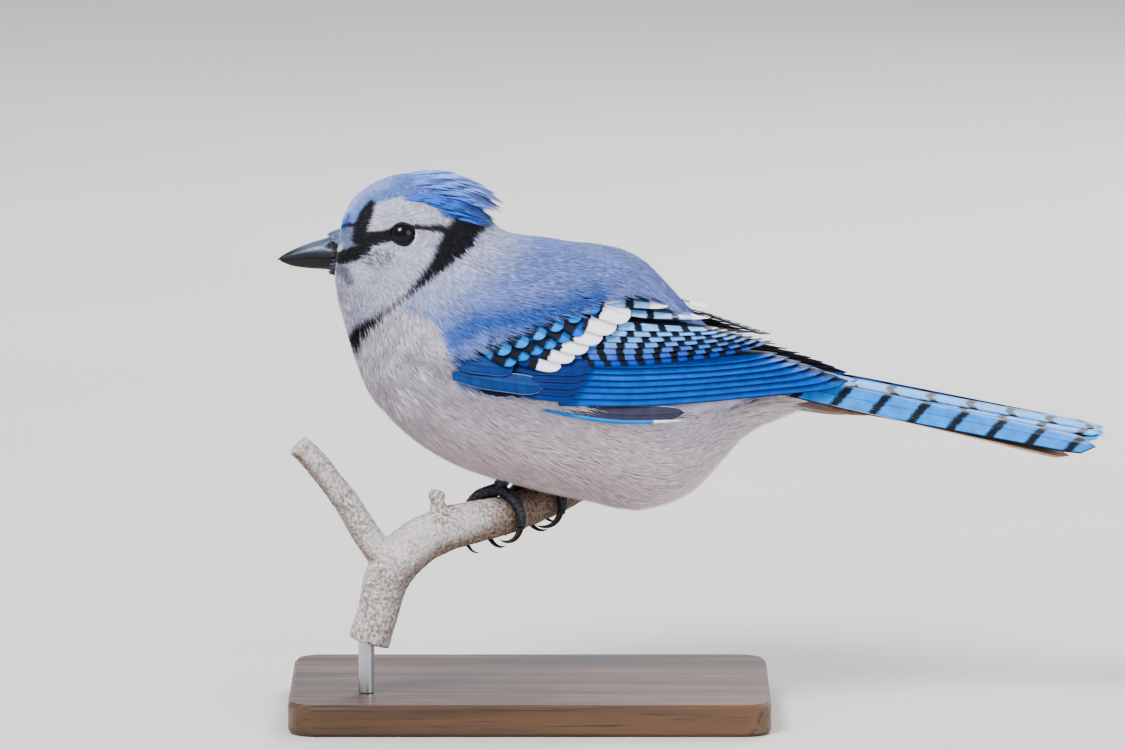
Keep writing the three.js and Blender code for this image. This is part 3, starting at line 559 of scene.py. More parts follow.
def vane_material():
    """Stiff feathers. The Feather map holds the distance from the root and the place across."""
    shader = Shader("vane", Roughness=0.5, Sheen_Weight=0.05, Specular_IOR_Level=0.25)
    tint = shader.layer("tint").outputs["Color"]
    bars = shader.layer("bars")
    form = shader.layer("form")
    where = shader.node("ShaderNodeUVMap", uv_map="Feather").outputs[0]
    along, across, _ = shader.node("ShaderNodeSeparateXYZ", {0: where}).outputs
    period, duty, strength = shader.parts(bars.outputs["Color"])
    slant = bars.outputs["Alpha"]
    length, white, dark_inner = shader.parts(form.outputs["Color"])
    rim = form.outputs["Alpha"]
    side = shader.math("ABSOLUTE", across)
    ragged = shader.times(shader.minus(shader.noise(900, 2), 0.5), 1.6)
    to_tip = shader.plus(shader.minus(length, along), ragged)
    slanted = shader.plus(to_tip, shader.times(across, slant))
    cycle = shader.math("FRACT", shader.math("DIVIDE", slanted, period))
    edge = shader.math("ABSOLUTE", shader.minus(cycle, 0.5))
    bar = shader.step(shader.minus(edge, shader.times(duty, 0.5)), -0.05, 0.05, 1.0, 0.0)
    bar = shader.times(bar, strength)
    swept = shader.minus(along, shader.times(side, 3.0))
    barbs = shader.math("SINE", shader.times(swept, 9.0))
    cloud = shader.step(shader.noise(300, 3), 0.3, 0.7, 0.85, 1.12)
    shade = shader.math("MULTIPLY_ADD", barbs, 0.07, cloud)
    colour = shader.mix(bar, shader.shaded(tint, shade), BAR_COLOUR)
    inner = shader.times(shader.step(across, -0.12, 0.02, 1.0, 0.0), dark_inner)
    colour = shader.mix(inner, colour, INNER_WEB)
    tip = shader.step(shader.minus(to_tip, white), -0.35, 0.35, 1.0, 0.0)
    tip = shader.times(tip, shader.step(white, 0.05, 0.3))
    colour = shader.mix(tip, colour, WHITE)
    pale_rim = shader.times(shader.step(side, 0.88, 0.97), rim)
    colour = shader.mix(pale_rim, colour, PALE_RIM)
    dark_rim = shader.times(shader.step(side, 0.88, 0.95), rim)
    colour = shader.mix(shader.times(dark_rim, -1.0), colour, DARK_RIM)
    shaft = shader.step(side, 0.02, 0.05, 1.0, 0.0)
    colour = shader.mix(shader.times(shaft, 0.45), colour, SHAFT)
    shader.set(Base_Color=colour)
    shader.bump(barbs, 0.00004, 0.5)
    return shader.material


def bill_material(name, pale):
    """Horn with the piece's own tint, a little smoother in places where pale is 1."""
    shader = Shader(name, Roughness=0.3, Specular_IOR_Level=0.4, Coat_Weight=0.08,
                    Coat_Roughness=0.3)
    tint = shader.layer("tint").outputs["Color"]
    streak = shader.noise(160, 4, shader.place((0.35, 1.6, 1.6)))
    shader.set(Base_Color=shader.mix(shader.step(streak, 0.35, 0.75, 0.0, 0.45), tint,
                                     (0.01, 0.012, 0.02)))
    shader.set(Roughness=shader.step(shader.noise(700, 3), 0.3, 0.7, 0.3, 0.5 - 0.1 * pale))
    shader.bump(streak, 0.0002, 0.35)
    return shader.material


def eye_material():
    shader = Shader("eye", Roughness=0.16, Specular_IOR_Level=0.35)
    tint = shader.layer("tint").outputs["Color"]
    rays = shader.noise(900, 3)
    shader.set(Base_Color=shader.mix(shader.step(rays, 0.35, 0.7, 0.0, 0.5), tint,
                                     (0.004, 0.003, 0.003)))
    return shader.material


def lid_material():
    shader = Shader("lid", Roughness=0.5, Specular_IOR_Level=0.4)
    grain = shader.cells(2600)
    shader.set(Base_Color=shader.mix(grain, (0.006, 0.006, 0.008), (0.018, 0.018, 0.022)))
    shader.bump(grain, 0.00012, 0.8)
    return shader.material


def foot_material():
    """Dark scaly skin with a bluish sheen on the scales' middles."""
    shader = Shader("foot_skin", Roughness=0.45, Specular_IOR_Level=0.45)
    scales = shader.cells(1150)
    fine = shader.noise(1800, 3)
    colour = shader.mix(shader.step(scales, 0.1, 0.6), (0.050, 0.052, 0.075), (0.010, 0.010, 0.013))
    shader.set(Base_Color=shader.mix(shader.step(fine, 0.4, 0.8, 0, 0.35), colour,
                                     (0.085, 0.085, 0.11)))
    shader.set(Roughness=shader.step(fine, 0.3, 0.7, 0.35, 0.6))
    shader.bump(shader.minus(1.0, scales), 0.0003, 0.9)
    return shader.material


def claw_material():
    shader = Shader("claw_horn", Roughness=0.22, Specular_IOR_Level=0.55, Coat_Weight=0.2)
    streak = shader.noise(420, 3, shader.place((1, 1, 0.4)))
    shader.set(Base_Color=shader.mix(streak, (0.006, 0.006, 0.008), (0.05, 0.036, 0.028)))
    shader.bump(streak, 0.0001, 0.3)
    return shader.material


def bark_material():
    """Pale grey bark with small dark specks, browner underneath and under the bird's belly as
    painted shade.
    """
    shader = Shader("bark", Roughness=0.85, Specular_IOR_Level=0.2)
    where = shader.place()
    broad = shader.noise(90, 5, where)
    mottled = shader.noise(950, 5, where)
    pits = shader.cells(780, where)
    height = shader.parts(shader.layer("tint").outputs["Color"])[0]
    grey = shader.mix(shader.step(mottled, 0.35, 0.68), (0.24, 0.19, 0.17), (0.60, 0.57, 0.56))
    pale = shader.mix(shader.step(broad, 0.4, 0.65, 0.0, 0.55), grey, (0.62, 0.59, 0.57))
    brown = shader.mix(shader.step(mottled, 0.3, 0.7), (0.12, 0.075, 0.05), (0.34, 0.26, 0.21))
    # Painted light and shade: pale where lit from above, brown underneath and under the belly
    colour = shader.mix(shader.step(height, 0.2, 0.8), brown, pale)
    specks = shader.step(pits, 0.10, 0.2, 1.0, 0.0)
    colour = shader.mix(shader.times(specks, shader.step(broad, 0.42, 0.6)), colour,
                        (0.05, 0.035, 0.03))
    shader.set(Base_Color=colour)
    relief = shader.plus(shader.times(mottled, 0.8), shader.times(shader.step(pits, 0.0, 0.3), 0.4))
    shader.bump(relief, 0.0006, 0.8)
    return shader.material


def stand_wood_material():
    shader = Shader("stand_wood", Roughness=0.38, Specular_IOR_Level=0.45, Coat_Weight=0.15,
                    Coat_Roughness=0.2)
    grain = shader.noise(26, 6, shader.place((0.25, 3.2, 3.2)))
    pores = shader.noise(300, 3, shader.place((0.08, 2.5, 2.5)))
    colour = shader.mix(shader.step(grain, 0.3, 0.7), (0.045, 0.024, 0.014), (0.15, 0.082, 0.045))
    shader.set(Base_Color=shader.mix(shader.step(pores, 0.55, 0.7, 0.0, 0.6), colour,
                                     (0.02, 0.012, 0.008)))
    shader.set(Roughness=shader.step(pores, 0.3, 0.7, 0.3, 0.5))
    shader.bump(pores, 0.0002, 0.25)
    return shader.material


def steel_material():
    shader = Shader("stand_steel", Metallic=1.0, Roughness=0.3)
    brushed = shader.noise(900, 2, shader.place((1, 1, 0.03)))
    shader.set(Base_Color=shader.mix(brushed, (0.42, 0.43, 0.45), (0.62, 0.63, 0.65)))
    shader.set(Roughness=shader.step(brushed, 0.3, 0.7, 0.22, 0.42))
    return shader.material


def floor_material():
    shader = Shader("studio_floor", Roughness=0.9, Specular_IOR_Level=0.1)
    cloud = shader.noise(3, 2)
    shader.set(Base_Color=shader.mix(cloud, (0.62, 0.60, 0.57), (0.70, 0.68, 0.65)))
    return shader.material


# The skin, under the feathers

SKIN_RINGS, SKIN_SIDES = 260, 150
SKIN_BULGE = 0.75  # the share of the coat's rise over the wing that the skin takes up
# How deep the skin lies at the stations along the body
COAT_DEPTH = [(0, 0.25), (2, 0.35), (5, 0.5), (9, 1.2), (13, 1.8), (18, 1.8), (21, 0.8)]


def coat_depth(station):
    stations, depths = zip(*COAT_DEPTH)
    return np.interp(station, stations, depths)


def bake_place(station, angle):
    """The unwrap of the skin's own shape that the skin and its feathers share."""
    around = np.mod(angle / (2 * np.pi) + 0.5, 1.0)
    return np.stack([0.01 + 0.98 * around, 0.01 + 0.98 * station / BODY_END], -1)


def make_skin(material):
    station = np.linspace(0, BODY_END, SKIN_RINGS)[:, None]
    angle = np.linspace(-np.pi, np.pi, SKIN_SIDES + 1)[None, :-1]
    station, angle = np.broadcast_arrays(station, angle)
    cover, depth = wing_cover(surface(BODY, station, angle))
    bulge = SKIN_BULGE * cover * smooth_step(depth, 14, 2)
    points = surface(BODY, station, angle, bulge - coat_depth(station))
    flat = points.reshape(-1, 3)
    ends = np.vstack([flat[:SKIN_SIDES].mean(0), flat[-SKIN_SIDES:].mean(0)])
    uv = np.vstack([bake_place(station, angle).reshape(-1, 2), [[0.5, 0.01], [0.5, 0.99]]])
    colours = np.vstack([markings(points).reshape(-1, 3), [BLACK, BREAST]])
    skin = make_piece("skin", np.vstack([flat, ends]), closed_faces(SKIN_RINGS, SKIN_SIDES),
                      colours, {"OFBake": uv})
    return finish_piece(skin, material, "body_plumage", "head", "neck", "torso")


# Body feathers: each is a thin closed lock that tapers from its root to its tip

LOCK_SHARES = np.array([0.0, 0.55, 1.0])
LOCK_WIDTHS = np.array([0.8, 1.0])
LOCK_RIDGE = 0.7
LOCK_POINTS = 3 * len(LOCK_WIDTHS) + 1
LOCK_ALONG = np.append(np.repeat(LOCK_SHARES[:-1], 3), 1.0)
LOCKS_PER_PIECE = 18000
BAKE_PATCH = 0.003


def lock_points(paths, normals, widths):
    """Three points on each row but the last, which is the tip."""
    tangent = unit(np.gradient(paths, axis=1))
    across = unit(np.cross(normals, tangent))
    reach = (widths[:, None] * LOCK_WIDTHS)[..., None] / 2
    body, side, up = paths[:, :-1], across[:, :-1], normals[:, :-1]
    rows = np.stack([body - side * reach, body + side * reach, body + up * reach * LOCK_RIDGE], 2)
    return np.concatenate([rows.reshape(len(paths), -1, 3), paths[:, -1:]], 1)


def lock_faces(count):
    """Quads round each lock, triangles to its tip, and one that closes its root."""
    last, tip = LOCK_POINTS - 4, LOCK_POINTS - 1
    triangles = [(last + k, last + (k + 1) % 3, tip) for k in range(3)] + [(0, 2, 1)]
    return [repeated(faces, LOCK_POINTS, count)
            for faces in (ring_faces(len(LOCK_WIDTHS), 3), triangles)]


def lock_uv(root_uv):
    across = np.append(np.tile([-0.5, 0.0, 0.5], len(LOCK_WIDTHS)), 0.0)
    local = np.stack([across, LOCK_ALONG - 0.5], -1) * BAKE_PATCH
    return (root_uv[:, None] + local[None]).reshape(-1, 2)


def strand_uv(paths, widths):
    """Millimetres across and along each lock, from a random start, for its fine barbs."""
    across = np.append(np.tile([-0.5, 0.5, 0.0], len(LOCK_WIDTHS)), 0.0)
    length = np.linalg.norm(paths[:, -1] - paths[:, 0], axis=-1)
    start = RANDOM.uniform(0, 60, (len(paths), 1))
    uv = np.stack([start + across * widths[:, None], start + LOCK_ALONG * length[:, None]], -1)
    return uv.reshape(-1, 2)


def make_locks(name, paths, normals, widths, tints, root_uv, material, slot):
    """Pieces of coat, each small enough to bake."""
    pieces = []
    for number, start in enumerate(range(0, len(paths), LOCKS_PER_PIECE)):
        part = slice(start, start + LOCKS_PER_PIECE)
        points = lock_points(paths[part], normals[part], widths[part])
        colours = np.repeat(tints[part][:, None], LOCK_POINTS, 1)
        uv = {"OFBake": lock_uv(root_uv[part]), "Feather": strand_uv(paths[part], widths[part])}
        piece = make_piece(f"{name}_{number + 1}", points, lock_faces(len(points)), colours, uv)
        pieces.append(finish_piece(piece, material, slot))
    return pieces


# Along the body: a feather's length, how far its tip stands off, and how much it strays
LOCK_STYLE = [
    # station, length, tip lift, stray in degrees
    (0.0, 2.2, 0.55, 9),
    (1.5, 2.6, 0.60, 10),
    (3.0, 3.0, 0.45, 9),
    (5.0, 3.8, 0.45, 8),
    (7.0, 5.0, 0.55, 9),
    (9.0, 6.5, 0.65, 10),
    (12.0, 7.5, 0.8, 10),
    (16.0, 8.5, 1.2, 12),
    (19.0, 8.5, 1.3, 12),
    (21.0, 6.0, 0.8, 10),
]
LAYERS = 7.2  # how many feathers lie over each place
LOCK_WIDTH, WIDTH_PER_LENGTH = 0.09, 0.0225
SAMPLE_ROWS, SAMPLE_COLUMNS = 420, 260
LAST_ROOT = 19.9


def lock_style(station, angle):
    """Length, width, tip lift and stray. The throat, breast and belly are longer and looser."""
    table = np.array(LOCK_STYLE)
    length, lift, stray = (np.interp(station, table[:, 0], table[:, k]) for k in (1, 2, 3))
    below = smooth_step(np.abs(angle), 1.5, 2.5)
    loose = 0.85 + 1.1 * smooth_step(station, 10, 4)
    length = length * (1 + 0.45 * below * smooth_step(station, 1, 4))
    lift = lift * (0.45 + loose * below)
    stray = stray * (0.4 + 0.8 * below)
    return length, LOCK_WIDTH + WIDTH_PER_LENGTH * length, lift, stray


# How far the coat stands off the body at the folded wing's lower edge, how much more it does
# at the upper edge, and how many pixels of the photograph it takes to rise there
COVER_RISE = (2.4, 4.9)
COVER_RAMP = (26, 52)
COVER_ENDS_X = (780, 640)


def wing_cover(points):
    """How far the coat stands off the body over the wing's arm and its edges, and the depth
    inside the part of the wing that shows."""
    at = seen_at(points)
    depth = depth_inside(at, WING_OUTLINE)
    start, level, fall = WING_MIDDLE
    above = smooth_step(level + (at[..., 0] - start) * fall - at[..., 1], -12, 22)
    ramp = COVER_RAMP[0] + COVER_RAMP[1] * above
    rise = smooth_step(depth / ramp, -1, 0.05) * (COVER_RISE[0] + COVER_RISE[1] * above)
    rise = rise * smooth_step(np.abs(points[..., 1]), 2, 17)
    return rise * smooth_step(at[..., 0], *COVER_ENDS_X), depth


def scatter_roots():
    """Stations and angles of the roots, as dense as the feathers' sizes ask for."""
    station_edges = np.linspace(0.15, LAST_ROOT, SAMPLE_ROWS + 1)
    angle_edges = np.linspace(-np.pi, np.pi, SAMPLE_COLUMNS + 1)
    corners = surface(BODY, station_edges[:, None], angle_edges[None, :])
    down = corners[1:, :-1] - corners[:-1, :-1]
    right = corners[:-1, 1:] - corners[:-1, :-1]
    area = np.linalg.norm(np.cross(down, right), axis=-1)
    middle_station = ((station_edges[1:] + station_edges[:-1]) / 2)[:, None]
    middle_angle = ((angle_edges[1:] + angle_edges[:-1]) / 2)[None, :]
    length, width, _, _ = lock_style(*np.broadcast_arrays(middle_station, middle_angle))
    wanted = area * LAYERS / (0.75 * length * width)
    counts = np.floor(wanted + RANDOM.random(wanted.shape)).astype(int)
    row, column = np.nonzero(counts)
    repeats = counts[row, column]
    row, column = np.repeat(row, repeats), np.repeat(column, repeats)
    station_step = station_edges[1] - station_edges[0]
    angle_step = angle_edges[1] - angle_edges[0]
    station = station_edges[row] + station_step * RANDOM.random(len(row))
    angle = angle_edges[column] + angle_step * RANDOM.random(len(row))
    return station, angle


def flow_noise(points, scale, seed):
    """A smooth field from -1 to 1, so that neighbours stray alike."""
    phases = np.random.default_rng(seed).random((4, 4))[:, 0] * 2 * np.pi
    turns = np.random.default_rng(seed + 1).normal(size=(4, 3)) / scale
    waves = [np.sin(points @ turn * 2.4 + phase) for turn, phase in zip(turns, phases)]
    return sum(waves) / 2.4


def body_paths(station, angle, length, lift, stray):
    """Paths that follow the body towards the tail, and the normals along them."""
    step = 0.04
    here = surface(BODY, station, angle)
    ahead = surface(BODY, np.minimum(station + step, BODY_END), angle)
    beside = surface(BODY, station, angle + step)
    pace = np.linalg.norm(ahead - here, axis=-1) / step
    turn = np.linalg.norm(beside - here, axis=-1) / step
    rows = []
    for share in LOCK_SHARES:
        s = station + length * np.cos(stray) / np.maximum(pace, 0.8) * share
        a = angle + length * np.sin(stray) / np.maximum(turn, 2.0) * share
        rise = -coat_depth(station) * (1 - share) ** 2 + lift * share**1.3
        cover, _ = wing_cover(surface(BODY, np.minimum(s, BODY_END), a))
        rise = rise + cover * (0.82 + 0.18 * smooth_step(share, 0, 0.4))
        rows.append(surface(BODY, np.minimum(s, BODY_END), a, rise))
    paths = np.stack(rows, 1)
    normal = unit(np.cross(beside - here, ahead - here))
    outward = np.sign(np.sum(normal * (here - surface(BODY, station, angle, -1)), -1))
    normal = normal * outward[:, None]
    return paths, np.repeat(normal[:, None], len(LOCK_SHARES), 1)


EYE_X, EYE_Z, EYE_BALL = -39.6, 153.0, 4.6
EYE_OPENING = (3.75, 2.85)
EYE_TURN = math.radians(-8)
EYE_SEAT = 3.6
EYE_SUNK = 0.2
BARE_ROUND_EYE = 1.22


def eye_distance(points):
    """Distance from the eye's middle, as a share of the opening's ellipse."""
    x = points[..., 0] - EYE_X
    z = points[..., 2] - EYE_Z
    forward = x * math.cos(EYE_TURN) + z * math.sin(EYE_TURN)
    up = z * math.cos(EYE_TURN) - x * math.sin(EYE_TURN)
    return np.hypot(forward / EYE_OPENING[0], up / EYE_OPENING[1])


# The back between the folded wings, which keeps its feathers
RUMP_ANGLE = 0.55
RUMP_STATION = 12.5


def make_coat(material):
    station, angle = scatter_roots()
    roots = surface(BODY, station, angle)
    keep = eye_distance(roots) > BARE_ROUND_EYE
    station, angle, roots = station[keep], angle[keep], roots[keep]
    length, width, lift, stray = lock_style(station, angle)
    count = len(station)
    near_eye = smooth_step(eye_distance(roots), 1.1, 2.3)
    length = length * (0.3 + 0.7 * near_eye) * RANDOM.uniform(0.7, 1.25, count)
    lift = lift * RANDOM.uniform(0.3, 1.5, count)
    locks_field = flow_noise(roots, 9, 3) + 0.5 * flow_noise(roots, 3.5, 5)
    wander = np.radians(stray) * (locks_field + RANDOM.normal(0, 0.45, count))
    paths, normals = body_paths(station, angle, length, lift, wander)
    tip_depth = depth_inside(seen_at(paths[:, -1]), WING_OUTLINE)
    root_depth = depth_inside(seen_at(paths[:, 0]), WING_OUTLINE)
    overlap = RANDOM.uniform(-2, 9, count)
    at = seen_at(paths[:, -1])
    bare_edge = smooth_step(at[:, 0], *BARE_EDGE_X) * smooth_step(at[:, 1], *BARE_EDGE_Y)
    outside = (tip_depth < overlap - 8 * bare_edge) & (root_depth < 4)
    between_wings = (np.abs(angle) < RUMP_ANGLE) & (station > RUMP_STATION)
    order = np.nonzero(outside | between_wings)[0]
    order = order[np.argsort(station[order])]
    seen = paths[order, 1:].mean(1) + RANDOM.normal(0, 0.2, (len(order), 3))
    shade = 1 + 0.05 * flow_noise(roots[order], 5, 7) + RANDOM.normal(0, 0.045, len(order))
    tints = np.clip(markings(seen) * shade[:, None], 0.004, 0.95)
    return make_locks("coat", paths[order], normals[order], width[order], tints,
                      bake_place(station, angle)[order], material, "body_plumage")


# Stiff feathers: fine closed vanes with a shaft, on frames that run from root to tip

VANE_ROWS = 26
VANE_COLUMNS = np.array([-1, -0.66, -0.33, -0.05, 0, 0.05, 0.33, 0.66, 1])
VANE_THICKNESS = 0.16
PLAIN_LOOK = dict(bars=(5, 0, 0, 0), white=0, inner=0, rim=0)


def vane_width(share, blunt):
    """The share of the full width: slim at the root, and a rounded tip."""
    rise = 0.7 + 0.3 * smooth_step(share, 0.0, 0.35)
    start = 1 - blunt
    fall = np.sqrt(np.clip(1 - (np.clip(share - start, 0, 1) / blunt) ** 2.2, 0.0, 1))
    return rise * np.maximum(fall, 0.03)


class Vanes:
    """Collects vanes into one piece."""

    def __init__(self):
        self.points, self.tints, self.bars, self.forms, self.feather_uv = [], [], [], [], []

    def add(self, points, normals, across, width, look, inner=0.5, tilt=0.0, blunt=0.3,
            cup=0.35):
        """Rows of shaft points, with the tilt of the vane at each row."""
        share = np.linspace(0, 1, VANE_ROWS)[:, None]
        reach = np.where(VANE_COLUMNS < 0, inner, 1 - inner)[None, :] * VANE_COLUMNS * width
        a = reach * vane_width(share, blunt)
        slope = np.broadcast_to(np.asarray(tilt, float).reshape(-1, 1), (VANE_ROWS, 1))
        rise = slope * a - cup * (VANE_COLUMNS**2)[None, :] * vane_width(share, blunt)
        rise = rise + 0.1 * (np.abs(VANE_COLUMNS) < 0.01)
        length = np.linalg.norm(points[-1] - points[0])
        for face in (0.5, -0.5):
            lift = rise + face * VANE_THICKNESS * np.ones_like(a)
            self.points.append((points[:, None] + across[:, None] * a[..., None]
                                + normals[:, None] * lift[..., None]).reshape(-1, 3))
            uv = np.stack(np.broadcast_arrays(share * length, VANE_COLUMNS[None, :]), -1)
            self.feather_uv.append(uv.reshape(-1, 2))
        size = 2 * a.size
        self.tints.append(np.tile(look["tint"], (size, 1)))
        look = {"length": length, **PLAIN_LOOK, **look}
        self.bars.append(np.tile(look["bars"], (size, 1)))
        form = [look[name] for name in ("length", "white", "inner", "rim")]
        self.forms.append(np.tile(form, (size, 1)))

    def faces(self):
        columns = len(VANE_COLUMNS)
        sheet = VANE_ROWS * columns
        top = ring_faces(VANE_ROWS, columns, closed=False)
        bottom = top[:, ::-1] + sheet
        row = np.arange(VANE_ROWS - 1) * columns
        edge = columns - 1
        left = np.stack([row, row + columns, row + columns + sheet, row + sheet], -1)
        right = np.stack([row + edge, row + edge + sheet, row + edge + columns + sheet,
                          row + edge + columns], -1)
        k = np.arange(columns - 1)
        root = np.stack([k, k + sheet, k + 1 + sheet, k + 1], -1)
        last = (VANE_ROWS - 1) * columns
        tip = np.stack([last + k, last + k + 1, last + k + 1 + sheet, last + k + sheet], -1)
        one = np.vstack([top, bottom, left, right, root, tip])
        return repeated(one, 2 * sheet, len(self.points) // 2)

    def bake_uv(self):
        """Each sheet has a cell of its own in a square grid."""
        count = len(self.points)
        across = math.ceil(math.sqrt(count))
        size = 1 / across
        layout = []
        for number, uv in enumerate(self.feather_uv):
            share = uv[:, 0] / max(uv[:, 0].max(), 1e-6)
            local = np.stack([0.5 + 0.46 * uv[:, 1], 0.04 + 0.92 * share], -1)
            layout.append((local + [number % across, number // across]) * size)
        return np.vstack(layout)

    def make(self, name, material, slot, *nodes):
        uv = {"OFBake": self.bake_uv(), "Feather": np.vstack(self.feather_uv)}
        layers = [("bars", np.vstack(self.bars)), ("form", np.vstack(self.forms))]
        piece = make_piece(name, np.vstack(self.points), [self.faces()],
                           np.vstack(self.tints), uv, layers)
        return finish_piece(piece, material, slot, *nodes)


def mixed(first, last, share):
    return tuple(a + (b - a) * share for a, b in zip(first, last))


# The folded wing's tiers, uppermost feather first: the roots and tips in X and Z, widths,
# lifts off the bed and looks of the first and the last one
WING_TIERS = {
    "primaries": dict(
        count=7, roots=[(1, 117.6), (9, 104.4)], tips=[(77, 114.2), (99, 105.6)],
        widths=(6.4, 5.6), lift=(0.9, 1.7), blunt=0.16,
        first=dict(tint=WING_BLUE, inner=1, rim=-1),
        last=dict(tint=WING_BLUE, inner=1, rim=-1),
    ),
    "secondaries": dict(
        count=7, roots=[(14, 129.2), (3, 117.6)], tips=[(58, 122.4), (75, 116.4)],
        widths=(6.6, 6.6), lift=(1.3, 2.4), blunt=0.13,
        first=dict(tint=(0.26, 0.55, 0.92), bars=(8.0, 0.32, 1, 0.6), inner=1, white=1.2),
        last=dict(tint=(0.004, 0.06, 0.44), bars=(5.4, 0.46, 1, 0.6), inner=1, white=0.6),
    ),
    "tertials": dict(
        count=3, roots=[(10, 138.5), (27, 131)], tips=[(29, 134), (55.5, 124.9)],
        widths=(8.6, 8), lift=(3.2, 1.7), blunt=0.24,
        first=dict(tint=(0.12, 0.30, 0.70), bars=(9.5, 0.3, 1, 0), inner=0.6, white=7),
        last=dict(tint=WING_PALE, bars=(9.0, 0.3, 1, 0), inner=0.8, white=7),
    ),
    "greater_coverts": dict(
        count=6, roots=[(17, 132.6), (-7, 119)], tips=[(30, 127.4), (9.9, 114.4)],
        widths=(9.4, 5.8), lift=(3.6, 3.6), blunt=0.36,
        first=dict(tint=WING_DEEP, bars=(5.9, 0.4, 1, 0), inner=0.6, white=9),
        last=dict(tint=WING_DEEP, bars=(5.8, 0.42, 1, 0), inner=0.6, white=7.2),
    ),
    "median_coverts": dict(
        count=6, roots=[(6, 130.5), (-14, 120.6)], tips=[(16.5, 123.6), (-3.6, 115.8)],
        widths=(6, 5.6), lift=(4.2, 4.0), blunt=0.34,
        first=dict(tint=(0.004, 0.14, 0.6), bars=(10.6, 0.46, 1, 0), inner=0.4),
        last=dict(tint=(0.01, 0.25, 0.76), bars=(10.6, 0.46, 1, 0), inner=0.4),
    ),
    "lesser_coverts": dict(
        count=6, roots=[(9, 135.4), (-15, 124.2)], tips=[(20.8, 129.4), (-5.2, 119)],
        widths=(6.2, 6), lift=(4.8, 4.8), blunt=0.34,
        first=dict(tint=(0.01, 0.22, 0.72), bars=(11, 0.42, 1, 0), inner=0.4),
        last=dict(tint=(0.02, 0.30, 0.80), bars=(11, 0.42, 1, 0), inner=0.4),
    ),
    "primary_coverts": dict(
        count=5, roots=[(-5, 115), (-4, 107.6)], tips=[(19, 114.4), (14, 106)],
        widths=(5.6, 5), lift=(2.9, 2.9), blunt=0.3,
        first=dict(tint=WING_DEEP, bars=(4, 0.2, 0.2, 0), rim=0.15),
        last=dict(tint=WING_DEEP, rim=0.15),
    ),
    "alula": dict(
        count=2, roots=[(-23, 115.4), (-23, 111.8)], tips=[(-4.6, 113.9), (4.6, 108.4)],
        widths=(5.5, 6.2), lift=(3.4, 3.4), blunt=0.25,
        first=dict(tint=(0.003, 0.04, 0.20), bars=(3.2, 0.14, 0.2, 0.8), rim=0.3),
        last=dict(tint=(0.003, 0.05, 0.22), bars=(3.6, 0.14, 0.3, 0.8), rim=0.5),
    ),
}
OUTER_PRIMARY = dict(root=(4, 103.2), tip=(46.5, 99.8), width=5.4, lift=3.6, bow=-1.6)
RIDGE_MARGIN = 0.9
SHINGLE_STEP = 0.62
STEEPEST = 0.5
LOW_EDGE = dict(down=2.3, out=0.35, width=1.3, blunt=0.5, tint=(0.01, 0.24, 0.72), white=9)


def blended_look(first, last, share):
    """A look between the first and the last of a tier, with a little chance in the colour."""
    first, last = PLAIN_LOOK | first, PLAIN_LOOK | last
    look = {name: between((first[name], last[name]), share) for name in ("white", "inner", "rim")}
    look["bars"] = mixed(first["bars"], last["bars"], share)
    look["tint"] = np.array(mixed(first["tint"], last["tint"], share)) * RANDOM.uniform(0.88, 1.12)
    return look


def shingle_tilt(count, roots, tips):
    """How steeply a tier's feathers tilt to lie over one another, from root to tip."""
    share = np.linspace(0, 1, VANE_ROWS)[:, None]
    roots, tips = np.array(roots), np.array(tips)
    offset = between((roots[1], tips[1]), share) - between((roots[0], tips[0]), share)
    ahead = tips[0] - roots[0]
    ahead = ahead / np.linalg.norm(ahead)
    apart = np.abs(offset[:, 0] * ahead[1] - offset[:, 1] * ahead[0]) / (count - 1)
    return np.minimum(STEEPEST, SHINGLE_STEP / np.maximum(apart, 0.1))


def wing_frames(side, root, tip, lift, bow=0.0):
    """Shaft points, normals and lower-edge directions for a feather on the wing's bed."""
    share = np.linspace(0, 1, VANE_ROWS)
    x = root[0] + (tip[0] - root[0]) * share
    z = root[1] + (tip[1] - root[1]) * share + bow * np.sin(np.pi * share)
    ridge = np.interp(x, [row[0] for row in WING_BED], [row[1] for row in WING_BED])
    points, normals = side_points(WING_BED, x, np.minimum(z, ridge - RIDGE_MARGIN), side)
    ahead = np.array([tip[0] - root[0], 0, tip[1] - root[1]])
    across = unit(np.cross(normals, ahead))
    across = across * np.where(across[:, 2:] > 0, -1, 1)
    raised = lift * smooth_step(share, -0.5, 0.5)
    return points + normals * raised[:, None], normals, across


def add_tier(vanes, side, count, roots, tips, widths, lift, blunt, first, last):
    tilt = shingle_tilt(count, roots, tips)
    for i in range(count):
        share = i / (count - 1)
        root, tip = mixed(*roots, share), mixed(*tips, share)
        points, normals, across = wing_frames(side, root, tip, between(lift, share))
        vanes.add(points, normals, across, between(widths, share),
                  blended_look(first, last, share), tilt=tilt, blunt=blunt, cup=0.15)


WING_SHELL = [
    # bed station, upper and lower share from the top of the section, height off the bed
    (1.2, 0.41, 0.59, 0.4),
    (1.6, 0.32, 0.62, 2.0),
    (2.4, 0.25, 0.63, 2.3),
    (3.2, 0.20, 0.57, 1.8),
    (4.1, 0.15, 0.50, 1.0),
    (5.1, 0.12, 0.44, 0.5),
    (6.2, 0.12, 0.36, 0.2),
]
ARM_RINGS, ARM_COLUMNS = 30, 14


